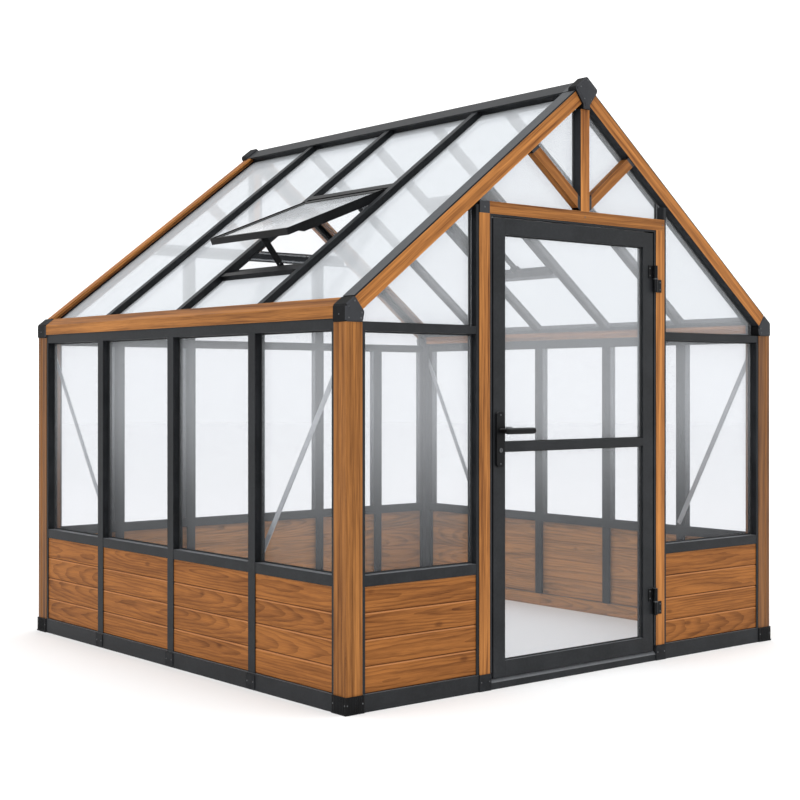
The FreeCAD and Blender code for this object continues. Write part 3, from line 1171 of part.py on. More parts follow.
def make_lock():
    case_x = "stile_width - groove_depth - 2 * leaf_wall - 2 * turn_gap"
    case_y = "leaf_thick - 2 * leaf_wall - 2 * turn_gap"
    case_low = "handle_height - (case_tall + cylinder_drop) / 2"
    blank = place(box("lock_blank", case_x, case_y, "case_tall"), "-leaf_half + leaf_wall + turn_gap",
                  "leaf_set + leaf_wall + turn_gap", case_low)
    spindle_hole = lying(rod("case_spindle_hole", "spindle_hole / 2", "leaf_thick"), "y",
                         "lock_x", "leaf_set", "handle_height")
    key_hole = lying(rod("case_key_hole", "cylinder_diameter / 2 + turn_gap", "leaf_thick"), "y",
                     "lock_x", "leaf_set", "handle_height - cylinder_drop")
    way = box("latch_way", "latch_length + 3 * latch_throw", "latch_thick + 2 * turn_gap",
              "latch_tall + 2 * turn_gap")
    place(way, "-leaf_half", "leaf_set + (leaf_thick - latch_thick) / 2 - turn_gap",
          "handle_height - latch_drop - latch_tall / 2 - turn_gap")
    node("lock_case", [cut("lock_case_holed", blank, spindle_hole, key_hole, way)], "door")

    bolt_x = "latch_length + latch_throw"
    bevel = "latch_thick / 2"
    outline = [("latch_throw", 0), (bolt_x, 0), (bolt_x, "latch_thick"), (0, "latch_thick"), (0, bevel)]
    bolt = extrude("latch_bar", "XY", outline, "latch_tall")
    place(bolt, "-leaf_half - latch_throw", "leaf_set + (leaf_thick - latch_thick) / 2",
          "handle_height - latch_drop - latch_tall / 2")
    node("latch_bolt", [bolt], "door")

    plates = []
    for name, y in (("outer", "leaf_set - plate_thick"), ("inner", "leaf_back")):
        low_x, low_z = "lock_x - plate_width / 2", "handle_height - plate_below"
        tall, corner = "(plate_above + plate_below)", "plate_corner"
        upright = box(f"{name}_plate_upright", f"plate_width - 2 * {corner}", "plate_thick", tall)
        place(upright, f"{low_x} + {corner}", y, low_z)
        across = box(f"{name}_plate_across", "plate_width", "plate_thick", f"{tall} - 2 * {corner}")
        place(across, low_x, y, f"{low_z} + {corner}")
        form = [upright, across]
        for x in (f"{low_x} + {corner}", f"{low_x} + plate_width - {corner}"):
            for z in (f"{low_z} + {corner}", f"{low_z} + {tall} - {corner}"):
                form.append(lying(rod(f"{name}_plate_corner", corner, "plate_thick"), "y", x, y, z))
        hole = lying(rod(f"{name}_plate_spindle_hole", "spindle_hole / 2", "plate_thick"), "y",
                     "lock_x", y, "handle_height")
        key = lying(rod(f"{name}_plate_key_hole", "cylinder_diameter / 2 + turn_gap", "plate_thick"), "y",
                    "lock_x", y, "handle_height - cylinder_drop")
        plates.append(cut(f"{name}_plate", fuse(f"{name}_plate_form", form), hole, key))
    node("handle_plates", plates, "door")

    barrel = rod("key_barrel", "cylinder_diameter / 2", "leaf_thick + 2 * plate_thick + 2 * cylinder_proud")
    lying(barrel, "y", "lock_x", "leaf_set - plate_thick - cylinder_proud", "handle_height - cylinder_drop")
    node("lock_cylinder", [barrel], "door")

    for label, start, sign in (("outer_lever", "leaf_set - plate_thick - turn_gap", "-"),
                               ("inner_lever", "leaf_back + plate_thick + turn_gap", "+")):
        grip_y = f"{start} {sign} lever_standoff"
        neck_y = grip_y if sign == "-" else start
        neck = lying(rod(label + "_neck", "neck_diameter / 2", "lever_standoff"), "y", "lock_x", neck_y,
                     "handle_height")
        grip = lying(rod(label + "_grip", "lever_diameter / 2", "lever_length"), "x", "lock_x", grip_y,
                     "handle_height")
        form = [neck, grip]
        for end, x in (("elbow", "lock_x"), ("tip", "lock_x + lever_length")):
            ball = doc.addObject("Part::Sphere", f"{label}_{end}")
            ball.setExpression("Radius", formula("lever_diameter / 2"))
            form.append(place(ball, x, grip_y, "handle_height"))
        node(label, [fuse(label + "_form", form)], "door")

    long_y = "leaf_thick + 2 * plate_thick + 2 * turn_gap"
    bar = box("spindle_bar", "spindle_size", long_y, "spindle_size")
    place(bar, "lock_x - spindle_size / 2", "leaf_set - plate_thick - turn_gap",
          "handle_height - spindle_size / 2")
    node("lever_spindle", [bar], "door")


# Roof vents

def make_vent_bars():
    bars = []
    for side in ("left", "right"):
        frame = side + "_slope"
        span = f"{side}_pitch - roof_bar_width"
        low_x = f"{side}_vent_middle - ({span}) / 2"
        sill = box(f"{side}_vent_sill", span, "vent_bar_width", "vent_sill_tall")
        bars.append(place(sill, low_x, f"{side}_vent_low + vent_lap", "vent_sill_top - vent_sill_tall",
                          frame=frame))

        curb = box(f"{side}_vent_curb", span, "vent_curb", "vent_curb_tall")
        bars.append(place(curb, low_x, f"{side}_vent_low - vent_curb_gap - vent_curb",
                          "roof_flange - roof_bar_depth + glass + 2 * glass_fit", frame=frame))

        tube = extrude(f"{side}_head_tube", "YZ",
                       rectangle("neck_length", "-roof_bar_depth", "neck_length + vent_bar_width", 0), span)
        place(tube, low_x, f"{side}_hinge_s")
        neck = box(f"{side}_head_neck", span, "neck_length", "neck_thick")
        place(neck, low_x, f"{side}_hinge_s", "-bead_drop - neck_thick / 2")
        bead = lying(rod(f"{side}_head_bead", "bead_radius", span), "x", low_x, f"{side}_hinge_s",
                     "-bead_drop")
        bars.append(place(copy(fuse(f"{side}_vent_head_form", [tube, neck, bead]), f"{side}_vent_head"),
                          frame=frame))

        low_x = f"{side}_vent_middle + stay_offset + stay_thick + rest_gap"
        peg_s, sill_end = f"({side}_hinge_s - peg_run)", f"({side}_vent_low + vent_lap + vent_bar_width)"
        low_z = "(vent_sill_top - vent_sill_tall)"
        arm = box(f"{side}_peg_arm", "peg_length", f"{peg_s} + stay_pin - {sill_end}",
                  f"-peg_depth - {low_z}")
        place(arm, low_x, sill_end, low_z)
        peg = lying(rod(f"{side}_peg_pin", "stay_pin / 2", "peg_length"), "x", low_x, peg_s, "-peg_depth")
        bracket = fuse(f"{side}_peg_form", [arm, peg])
        bars.append(place(copy(bracket, f"{side}_sill_peg"), frame=frame))
    node("vent_bars", bars)


def make_sash(side):
    half = f"({side}_pitch / 2 - roof_bar_width / 2 - vent_clear)"
    frame = side + "_sash"
    rail_low, rail_high = "-hook_radius - sash_width + hook_wall / 2", "-hook_radius + hook_wall / 2"
    stile = rectangle(0, "sash_low", "sash_width", "sash_high")
    stile_bore = inset_rectangle(0, "sash_low", "sash_width", "sash_high", "sash_wall")
    stile_bar = extrude(f"{side}_sash_stile", "XZ", stile, f"vent_length + {rail_high}", stile_bore)
    members = [place(copy(stile_bar, f"{side}_sash_stile_{end}"), x, "-vent_length")
               for end, x in (("a", f"-{half}"), ("b", f"{half} - sash_width"))]

    inner = f"2 * {half} - 2 * sash_width"
    low_x = f"-{half} + sash_width"
    foot = extrude(f"{side}_sash_foot", "YZ", stile, inner, stile_bore)
    members.append(place(foot, low_x, "-vent_length"))

    head = extrude(f"{side}_sash_head", "YZ", rectangle(rail_low, "sash_low", rail_high, "sash_high"), inner)
    place(head, low_x)
    barrel = lying(rod(f"{side}_hook_barrel", "hook_radius", inner), "x", low_x)
    groove = lying(rod(f"{side}_hook_groove", "bead_radius + bead_fit", inner), "x", low_x)
    mouth = box(f"{side}_hook_mouth", inner, "2 * hook_radius", "2 * bead_radius + 2 * bead_fit")
    place(mouth, low_x, 0, "-bead_radius - bead_fit")
    members.append(cut(f"{side}_hooked_head", fuse(f"{side}_head_blank", [head, barrel]), groove, mouth))

    plate = box(f"{side}_stay_plate", "4 * bracket_thick", "stay_inset + stay_pin - sash_width / 2",
                "bracket_thick")
    place(plate, "stay_offset - rest_gap - 4 * bracket_thick", "-vent_length + sash_width / 2",
          "sash_low - bracket_thick")
    ear = box(f"{side}_stay_ear", "bracket_thick", "2 * stay_pin", "stay_drop + stay_pin")
    place(ear, "stay_offset - rest_gap - bracket_thick", "-stay_arm - stay_pin", "stay_pivot - stay_pin")
    pin = lying(rod(f"{side}_stay_pin", "stay_pin / 2", "stay_thick + rest_gap"), "x",
                "stay_offset - rest_gap", "-stay_arm", "stay_pivot")
    members.append(fuse(f"{side}_stay_bracket", [plate, ear, pin]))
    node(f"{side}_vent_sash", members, frame)

    fit = "glass_fit"
    pane = box(f"{side}_sash_pane", f"{inner} - 2 * {fit}",
               f"{rail_low} + vent_length - sash_width - 2 * {fit}", "glass")
    place(pane, f"{low_x} + {fit}", f"-vent_length + sash_width + {fit}")
    node(f"{side}_vent_pane", [pane], frame)

    flat = box(f"{side}_stay_flat", "stay_thick", "stay_length", "stay_width")
    place(flat, 0, 0, "-stay_width / 2")
    ends = [lying(rod(f"{side}_stay_{end}", "stay_width / 2", "stay_thick"), "x", 0, y)
            for end, y in (("root", 0), ("tip", "stay_length"))]
    holes = [lying(rod(f"{side}_stay_{end}_hole", "stay_pin / 2 + stay_play", "stay_thick"), "x", 0, y)
             for end, y in (("root", 0), ("tip", "stay_length"))]
    node(f"{side}_vent_stay", [cut(f"{side}_stay_arm", fuse(f"{side}_stay_form", [flat] + ends), *holes)],
         side + "_stay")


def check_and_write():
    doc.recompute()
    failed = [item.Name for item in doc.Objects if "Invalid" in item.State or "Error" in item.State]
    if failed:
        raise RuntimeError("these objects failed: " + ", ".join(failed))
    for item in nodes:
        if item.Shape.isNull() or not item.Shape.isValid() or not item.Shape.Solids:
            raise RuntimeError(item.Label + " has no valid solid")
    os.makedirs("parts", exist_ok=True)
    for item in nodes:
        item.Shape.exportStep(os.path.join("parts", item.Label + ".step"))
    print(len(nodes), "nodes,", sum(len(item.Shape.Solids) for item in nodes), "solids")


fill_sheets()
make_feet()
make_posts()
make_base()
make_mullions()
make_liners()
make_bays()
make_eaves()
make_roof_frame()
make_ridge()
make_roof_panes()
make_gable_panes()
make_truss()
make_braces()
make_door_opening()
make_hinges()
make_leaf()
make_lock()
make_vent_bars()
for side in ("left", "right"):
    make_sash(side)
check_and_write()
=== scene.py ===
"""Looks of an aluminium greenhouse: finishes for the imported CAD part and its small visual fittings.

Every length is in metres, in the frame of the CAD part: x across the gables, y along the ridge, z up.
"""

import math

import bpy
import numpy as np
from bpy.props import FloatProperty, FloatVectorProperty, PointerProperty
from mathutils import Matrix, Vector


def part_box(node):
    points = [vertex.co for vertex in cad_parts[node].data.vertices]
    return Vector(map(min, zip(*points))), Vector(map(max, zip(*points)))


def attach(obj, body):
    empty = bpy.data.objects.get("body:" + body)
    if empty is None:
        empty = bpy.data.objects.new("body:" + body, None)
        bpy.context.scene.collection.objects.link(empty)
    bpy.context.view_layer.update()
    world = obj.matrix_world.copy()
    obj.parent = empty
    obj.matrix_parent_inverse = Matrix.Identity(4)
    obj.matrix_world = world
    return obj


bl_info = {
    "name": "Greenhouse looks",
    "version": (1, 0, 0),
    "blender": (4, 5, 0),
    "location": "View3D > Sidebar > Greenhouse",
    "description": "Finishes, glazing seals and screws of an aluminium greenhouse",
    "category": "Object",
}

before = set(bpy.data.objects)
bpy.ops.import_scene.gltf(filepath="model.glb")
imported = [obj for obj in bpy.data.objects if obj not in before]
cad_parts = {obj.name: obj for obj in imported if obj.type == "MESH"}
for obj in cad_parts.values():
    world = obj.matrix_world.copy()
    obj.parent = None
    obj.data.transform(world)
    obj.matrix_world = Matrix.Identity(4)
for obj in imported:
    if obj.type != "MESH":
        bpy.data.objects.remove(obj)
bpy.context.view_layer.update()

MILLIMETRE = 0.001
ROOF_PITCH = math.radians(37.7)
TRUSS_PITCH = math.radians(38)
X_AXIS, Y_AXIS, Z_AXIS = AXES = np.eye(3)
FRONT = -Y_AXIS
ROOM_MIDDLE = (0.0, 0.0, 1.0)

# Places that tell the walls, boards and bars of the part from each other
HALF_WIDTH = 1220 * MILLIMETRE
HALF_DEPTH = 1200 * MILLIMETRE
SIDE_WALLS = 1155 * MILLIMETRE
LEFT_BAYS = 4
RIGHT_BAYS = 5
REAR_BAYS = 6
PLANKS_IN_PANEL = 4
INNER_BOARD_FACE = 25.5 * MILLIMETRE
FRONT_CAPS = -1130 * MILLIMETRE
SILL_TOPS = 600 * MILLIMETRE
REAR_EDGES = 1100 * MILLIMETRE
PANE_LEDGE = 9 * MILLIMETRE
FOOT_SIDE = 83.4 * MILLIMETRE

# Marks on the finishes
SEAM_WIDTH = 2 * MILLIMETRE
BOARD_GAP = 1.3 * MILLIMETRE
RING_WIDTH = 10.5 * MILLIMETRE
# Painted shade on the far posts: a darker, greyer colour and its share
FAR_POST_SHADE = (0.045, 0.045, 0.042)
FAR_POST_SHADE_SHARE = 0.34
# Colour of the painted sheen on the sill tops
LEDGE_SHEEN = (0.16, 0.167, 0.177)


# Shader expressions

class Field:
    """A socket of a finish's node tree. Arithmetic on it adds Math nodes, and node() adds any other."""

    def __init__(self, tree, socket=None):
        self.tree = tree
        self.socket = socket

    def node(self, kind, settings=None, inputs=None, output=0):
        """Add a node: its settings first, then the values or links of its sockets."""
        made = self.tree.nodes.new(kind)
        for name, value in (settings or {}).items():
            setattr(made, name, value)
        for key, value in (inputs or {}).items():
            if isinstance(value, Field):
                self.tree.links.new(value.socket, made.inputs[key])
            else:
                made.inputs[key].default_value = value
        return Field(self.tree, made.outputs[output])

    def math(self, operation, *values, clamp=False):
        settings = {"operation": operation, "use_clamp": clamp}
        return self.node("ShaderNodeMath", settings, dict(enumerate(values)))

    def __add__(self, other):
        return self.math("ADD", self, other)

    def __sub__(self, other):
        return self.math("SUBTRACT", self, other)

    def __rsub__(self, other):
        return self.math("SUBTRACT", other, self)

    def __mul__(self, other):
        return self.math("MULTIPLY", self, other)

    def __truediv__(self, other):
        return self.math("DIVIDE", self, other)

    def __abs__(self):
        return self.math("ABSOLUTE", self)

    def __gt__(self, other):
        return self.math("GREATER_THAN", self, other)

    def __lt__(self, other):
        return self.math("LESS_THAN", self, other)

    __radd__ = __add__
    __rmul__ = __mul__

    def floor(self):
        return self.math("FLOOR", self)

    def clamped(self):
        return self.math("ADD", self, 0, clamp=True)

    def between(self, low, high):
        """0 below low, 1 above high, smooth between."""
        inputs = {"Value": self, "From Min": low, "From Max": high}
        return self.node("ShaderNodeMapRange", {"interpolation_type": "SMOOTHSTEP"}, inputs)

    def choose(self, yes, no):
        """yes where this field is 1, no where it is 0."""
        return no + self * (yes - no)

    def vector(self, x, y, z):
        return self.node("ShaderNodeCombineXYZ", None, {0: x, 1: y, 2: z})

    def noise(self, vector, scale, detail, roughness=0.5):
        inputs = {"Vector": vector, "Scale": scale, "Detail": detail, "Roughness": roughness}
        return self.node("ShaderNodeTexNoise", None, inputs)

    def speck(self, vector):
        """A steady random value for each whole-number cell."""
        return self.node("ShaderNodeTexWhiteNoise", None, {"Vector": vector})

    def mix(self, low, high):
        """Colour that goes from low to high with this field."""
        inputs = {0: self, 6: paint(low), 7: paint(high)}
        return self.node("ShaderNodeMix", {"data_type": "RGBA"}, inputs, output=2)

    def ramp(self, *stops):
        """Colour along a ramp of stops, each a place and a colour."""
        made = self.node("ShaderNodeValToRGB", None, {0: self})
        elements = made.socket.node.color_ramp.elements
        for place, colour in stops[2:]:
            elements.new(place)
        for element, (place, colour) in zip(elements, stops):
            element.position = place
            element.color = (*colour, 1)
        return made

    def bump(self, depth, strength=1.0, under=None):
        inputs = {"Height": self, "Distance": depth, "Strength": strength}
        if under:
            inputs["Normal"] = under
        return self.node("ShaderNodeBump", None, inputs)


def paint(colour):
    return colour if isinstance(colour, Field) else (*colour, 1)


def scaled(colour, gain):
    return [channel * gain for channel in colour]


class Finish:
    """A named material with one Principled shader and the object's own coordinates."""

    def __init__(self, name):
        self.material = bpy.data.materials.new(name)
        self.material.use_nodes = True
        self.tree = self.material.node_tree
        self.shader = self.tree.nodes["Principled BSDF"]
        self.out = self.tree.nodes["Material Output"]
        self.start = Field(self.tree)
        self.place = self.start.node("ShaderNodeTexCoord", output="Object")
        self.x, self.y, self.z = (self.component(self.place, axis) for axis in range(3))

    def component(self, vector, axis):
        """The x, y or z component of a vector."""
        return self.start.node("ShaderNodeSeparateXYZ", None, {0: vector}, output=axis)

    def noise(self, scale, detail, roughness=0.5):
        """Noise over the object's own coordinates."""
        return self.start.noise(self.place, scale, detail, roughness)

    def rounded_edges(self, radius):
        """Normal that turns smoothly round every sharp edge within a radius."""
        return self.start.node("ShaderNodeBevel", {"samples": 4}, {"Radius": radius})

    def worn_and_lit_edges(self, radius):
        """1 along edges, 0 on flat faces: how far the rounded normal leaves the true one. The finishes use
        it for paler edges: partly wear, partly a painted highlight.
        """
        true = self.start.node("ShaderNodeNewGeometry", output="Normal")
        dot = self.start.node("ShaderNodeVectorMath", {"operation": "DOT_PRODUCT"},
                              {0: self.rounded_edges(radius), 1: true}, output="Value")
        return (1 - dot).between(0.02, 0.3)

    def facing(self, axis):
        """How far the true surface faces along x, y or z."""
        return self.component(self.start.node("ShaderNodeNewGeometry", output="True Normal"), axis)

    def set(self, **sockets):
        """Link fields to the shader's sockets and set plain numbers on them."""
        for name, value in sockets.items():
            socket = self.shader.inputs[name.replace("_", " ")]
            if isinstance(value, Field):
                self.tree.links.new(value.socket, socket)
            else:
                socket.default_value = paint(value) if isinstance(value, (tuple, list, Vector)) else value
        return self.material


# Finishes

def wood_grain(name, axes, colours, gain=1.0, dark_colour=None, dark_faces=None, dull=None):
    """Printed wood-grain foil on a straight member: long fibres, fine streaks and thin dark pores, with a
    painted highlight along the edges. The axes turn a finish's coordinates into those along, across and
    through the member. gain lightens the foil: painted light. Faces that the mask picks show the given
    dark colour instead: a bare core on most members, and painted shade on the sides and undersides of
    the front rafters and king posts. Faces that dull picks get painted shade, darker and greyer."""
    finish = Finish(name)
    start = finish.start
    run, wide, deep = (axis(finish) for axis in axes)

    def grain(lengthwise, crosswise, detail, roughness=0.5):
        cells = start.vector(run * lengthwise, wide * crosswise, deep * crosswise)
        return start.noise(cells, 1.0, detail, roughness)

    sway = grain(1.3, 3, 1.0) * 0.02
    wide, deep = wide + sway, deep + sway
    streak = grain(1.0, 52, 4.0, 0.6)
    fibre = grain(6, 300, 2.0, 0.6)
    pore = grain(14, 620, 1.0)
    broad = grain(0.6, 11, 1.0)
    dark, middle, light = (scaled(colour, gain) for colour in colours)
    tone = (0.04 + streak.between(0.3, 0.7) * 0.48 + fibre.between(0.3, 0.7) * 0.28
            + broad.between(0.3, 0.7) * 0.2)
    colour = tone.ramp((0.08, dark), (1.0, light), (0.5, middle))
    colour = (pore.between(0.6, 0.78) * 0.35).mix(colour, dark)
    # Painted highlight: the foil is made paler along its edges.
    colour = (finish.worn_and_lit_edges(3.2 * MILLIMETRE) * 0.75).mix(colour, scaled(light, 1.15))
    # Painted shade: the faces that dull picks are made darker and greyer.
    if dull:
        colour = (dull(finish) * FAR_POST_SHADE_SHARE).mix(colour, FAR_POST_SHADE)
    # Faces that the mask picks take the dark colour: a bare core on most members, and painted shade on the
    # front rafters and king posts.
    if dark_faces:
        colour = dark_faces(finish).mix(colour, dark_colour)
    edges = finish.rounded_edges(1.5 * MILLIMETRE)
    relief = (fibre * 0.6 + pore * 0.4).bump(0.25 * MILLIMETRE, 0.35, edges)
    return finish.set(Base_Color=colour, Roughness=0.46 + fibre * 0.16, Normal=relief,
                      Specular_IOR_Level=0.12)


def plank_grain(name, colours, plank_pitch, plank_foot):
    """Boards sawn from different trunks: rings about a tilted axis behind each board's face, with fibres.
    A board's cell number picks the depth, height and tilt of its trunk. Upward faces get a painted
    highlight and downward faces painted shade; the inner faces are lightened as painted light, and the
    board edges get a painted highlight."""
    finish = Finish(name)
    start = finish.start
    side_wall = abs(finish.x) > SIDE_WALLS
    run = side_wall.choose(finish.y, finish.x)
    row = ((finish.z - plank_foot) / plank_pitch).floor()
    side_pitch = (finish.x > 0).choose(2 * HALF_DEPTH / RIGHT_BAYS, 2 * HALF_DEPTH / LEFT_BAYS)
    pitch = side_wall.choose(side_pitch, 2 * HALF_WIDTH / REAR_BAYS)
    edge = side_wall.choose(HALF_DEPTH, HALF_WIDTH)
    front_wall = (1 - side_wall) * (finish.y < 0)
    bay = front_wall.choose(finish.x > 0, ((run + edge) / pitch).floor())
    wall = side_wall * 2 + (side_wall.choose(finish.x, finish.y) > 0)
    first = start.speck(start.vector(row + wall * 7, bay, wall))
    second = start.speck(start.vector(bay, row * 3 + wall, row + 11))
    third = start.speck(start.vector(row + 5, wall * 3 + bay * 5, bay))

    height = finish.z - plank_foot - (row + 0.5) * plank_pitch
    drift = run + first * 9
    warp = start.noise(start.vector(drift * 3.0, height * 12 + second * 7, third * 5), 1.0, 3.0, 0.6)
    trunk = 0.015 + second * 0.04 + (run - edge * (third - 0.5)) * (third - 0.5) * 0.2
    level = height + (first - 0.5) * 0.07
    radius = start.math("SQRT", level * level + trunk * trunk) + (warp - 0.5) * 0.024
    ring = 1 - start.math("FRACT", radius / RING_WIDTH).between(0.35, 1.0)
    fibre = start.noise(start.vector(drift * 7, height * 300, first * 50), 1.0, 3.0, 0.65)
    pore = start.noise(start.vector(drift * 15, height * 650, second * 50), 1.0, 1.0)
    broad = start.noise(start.vector(drift * 2.2, height * 34, third * 9), 1.0, 3.0, 0.6)
    knot_place = start.vector(drift * 4.2, height * 9 + second * 7, third * 6)
    knot_cell = start.node("ShaderNodeTexVoronoi", None, {"Vector": knot_place, "Scale": 1.0})
    knot = 1 - knot_cell.between(0.04, 0.13)

    dark, middle, light = [(red * 1.03, green * 0.95, blue * 0.86) for red, green, blue in colours]
    tone = (0.1 + ring * 0.22 + fibre.between(0.26, 0.74) * 0.22 + broad.between(0.28, 0.72) * 0.28
            + first * 0.1)
    colour = tone.ramp((0.1, dark), (0.98, light), (0.5, middle))
    colour = (pore.between(0.58, 0.77) * 0.35 + knot * 0.55).clamped().mix(colour, dark)
    # Painted highlight: upward faces, such as the upper bevels of the joints, are made pale.
    upward = finish.facing(2)
    bevel_highlight = [0.06 + channel * 1.25 for channel in light]
    colour = (upward.between(0.3, 0.6) * 0.6).mix(colour, bevel_highlight)
    # Painted shade: downward faces are made darker.
    colour = ((1 - upward.between(-0.6, -0.3)) * 0.65).mix(colour, scaled(dark, 0.45))
    inner = side_wall.choose(abs(finish.x) < HALF_WIDTH - INNER_BOARD_FACE,
                             abs(finish.y) < HALF_DEPTH - INNER_BOARD_FACE)
    # Painted light: the inner faces are made lighter and greyer than the outer ones.
    inner_painted_light = colour.node("ShaderNodeVectorMath", {"operation": "MULTIPLY_ADD"},
                       {0: colour, 1: (1.45, 1.45, 1.45), 2: (0.0, 0.04, 0.035)})
    colour = inner.mix(colour, inner_painted_light)
    gap = abs(height) > plank_pitch / 2 - BOARD_GAP
    colour = (inner * gap * 0.7).mix(colour, dark)
    # Painted highlight: the board edges are made lighter.
    colour = (finish.worn_and_lit_edges(2 * MILLIMETRE) * 0.3).mix(colour, light)
    edges = finish.rounded_edges(1 * MILLIMETRE)
    relief = (fibre * 0.6 + pore * 0.4).bump(0.3 * MILLIMETRE, 0.4, edges)
    return finish.set(Base_Color=colour, Roughness=0.48 + fibre * 0.16, Normal=relief,
                      Specular_IOR_Level=0.12)


def powder_coat(name, colour, worn, grain, gloss, sheen, seams=()):
    """Satin powder coat: fine orange-peel bumps, faint clouding, paler edges that are partly wear and
    partly a painted highlight, and a mottled painted sheen on upward faces, strongest on the sill tops and
    the caps along the front rafters. A dark joint line runs up the bar at each x of the seams."""
    finish = Finish(name)
    peel = finish.noise(grain, 2.0, 0.6)
    cloud = finish.noise(7.0, 3.0, 0.6)
    dust = finish.noise(90.0, 2.0, 0.7)
    shade = (cloud.between(0.3, 0.7) * 0.5 + dust.between(0.4, 0.7) * 0.25).mix(colour, worn)
    # Paler edges: partly wear, partly a painted highlight.
    shade = (finish.worn_and_lit_edges(1.8 * MILLIMETRE) * 0.5).mix(shade, worn)
    cap = finish.y < FRONT_CAPS
    ledge = finish.z < SILL_TOPS
    amount = ledge.choose(1.3, cap.choose(1.15, 0.3))
    # Painted sheen: upward faces are made paler, mottled, most on the sill tops and the front caps.
    upward_sheen = finish.facing(2).between(0.45, 0.75) * (0.35 + dust * 0.4) * amount
    sheen_colour = ledge.mix([0.06 + channel * 5 for channel in colour], LEDGE_SHEEN)
    shade = upward_sheen.clamped().mix(shade, sheen_colour)
    for seam in seams:
        line = abs(finish.x - seam) < SEAM_WIDTH
        shade = (line * 0.8).mix(shade, scaled(colour, 0.2))
    relief = peel.bump(0.15 * MILLIMETRE, 0.3, finish.rounded_edges(1.2 * MILLIMETRE))
    return finish.set(Base_Color=shade, Roughness=gloss + cloud * 0.12 + peel * 0.08, Normal=relief,
                      Specular_IOR_Level=sheen)


def moulded_black(name, colour, worn, panel=None):
    """Moulded black plastic with a fine sand texture, scuffed corners and paler edges that are partly wear
    and partly a painted highlight. Faces that look along the ridge get painted light, a lighter black, if
    one is given."""
    finish = Finish(name)
    sand = finish.start.node("ShaderNodeTexVoronoi", None, {"Vector": finish.place, "Scale": 950.0})
    cloud = finish.noise(24.0, 3.0, 0.6)
    scuff = finish.noise(160.0, 2.0, 0.7).between(0.55, 0.8)
    shade = (cloud.between(0.3, 0.75) * 0.5 + scuff * 0.3).mix(colour, worn)
    # Painted light: faces that look along the ridge are made lighter than the other faces.
    if panel:
        share = (abs(finish.facing(1)) > 0.7) * (0.75 + cloud * 0.5)
        shade = share.clamped().mix(shade, panel)
    # Paler edges: partly wear, partly a painted highlight.
    shade = (finish.worn_and_lit_edges(2.2 * MILLIMETRE) * 0.6).mix(shade, worn)
    relief = sand.bump(0.2 * MILLIMETRE, 0.35, finish.rounded_edges(1.5 * MILLIMETRE))
    return finish.set(Base_Color=shade, Roughness=0.48 + sand * 0.2 + scuff * 0.08, Normal=relief,
                      Specular_IOR_Level=0.12)


def brushed_metal(name, colour, dull, roughness, stretch):
    """Bare metal with fine lengthwise brush marks and dull clouds."""
    finish = Finish(name)
    lines = finish.start.node("ShaderNodeMapping", None, {"Vector": finish.place, "Scale": stretch})
    brush = finish.start.noise(lines, 1.0, 3.0, 0.7)
    cloud = finish.noise(18.0, 3.0, 0.6)
    shade = (cloud.between(0.35, 0.75) * 0.6 + brush * 0.3).mix(colour, dull)
    relief = brush.bump(0.08 * MILLIMETRE, 0.3, finish.rounded_edges(0.8 * MILLIMETRE))
    return finish.set(Base_Color=shade, Metallic=0.9, Roughness=roughness + brush * 0.16 + cloud * 0.1,
                      Normal=relief)


def soft_rubber(name, colour, bloom):
    """Matt black rubber with a pale bloom."""
    finish = Finish(name)
    cloud = finish.noise(45.0, 3.0, 0.7)
    pits = finish.noise(1400.0, 1.0)
    shade = (cloud.between(0.45, 0.8) * 0.6).mix(colour, bloom)
    return finish.set(Base_Color=shade, Roughness=0.62 + cloud * 0.2,
                      Normal=pits.bump(0.1 * MILLIMETRE, 0.3), Specular_IOR_Level=0.3)


def clear_pane(name, tint, reflection_colour, reflection_low, reflection_high, gloss):
    """Clear glazing: see-through, with a painted reflection: a pale diffuse sheet that grows stronger from
    the sills to the eaves. The painted reflection takes no part in the light that passes through to
    other surfaces."""
    finish = Finish(name)
    start = finish.start
    cloud = finish.noise(1.4, 2.0, 0.5)
    drops = finish.noise(38.0, 2.0, 0.6)
    # Painted reflection: weaker at the sills, stronger towards the eaves.
    rise = finish.z.between(0.5, 1.15)
    shadow = start.node("ShaderNodeLightPath", output="Is Shadow Ray")
    bounce = start.node("ShaderNodeLightPath", output="Is Diffuse Ray")
    share = reflection_low + rise * (reflection_high - reflection_low) + (cloud - 0.5) * 0.03
    share = share * (1 - shadow) * (1 - bounce)
    finish.set(Base_Color=rise.mix(scaled(reflection_colour, 0.6), reflection_colour), Roughness=0.06 + drops * 0.08,
               Specular_IOR_Level=gloss, IOR=1.5)
    passed = shadow.mix(tint, (1, 1, 1))
    open_view = start.node("ShaderNodeBsdfTransparent", None, {"Color": passed})
    surface = Field(finish.tree, finish.shader.outputs[0])
    both = start.node("ShaderNodeMixShader", None, {0: share.clamped(), 1: open_view, 2: surface})
    finish.tree.links.new(both.socket, finish.out.inputs["Surface"])
    return finish.material


def pale_floor(name, colour, mark):
    finish = Finish(name)
    mottle = finish.noise(3.0, 4.0, 0.6)
    return finish.set(Base_Color=(mottle * 0.5).mix(colour, mark), Roughness=0.75 + mottle * 0.1,
                      Specular_IOR_Level=0.2)


# Shapes: each is an array of points and a list of faces

def grid_quads(rows, columns, close_rows=False):
    """Corner numbers of the quads of a grid whose columns close on themselves."""
    row = np.arange(rows if close_rows else rows - 1)[:, None]
    column = np.arange(columns)[None, :]
    ahead = (row + 1) % rows * columns
    beside = (column + 1) % columns
    corners = (row * columns + column, row * columns + beside, ahead + beside, ahead + column)
    return np.stack(np.broadcast_arrays(*corners), axis=-1).reshape(-1, 4).tolist()


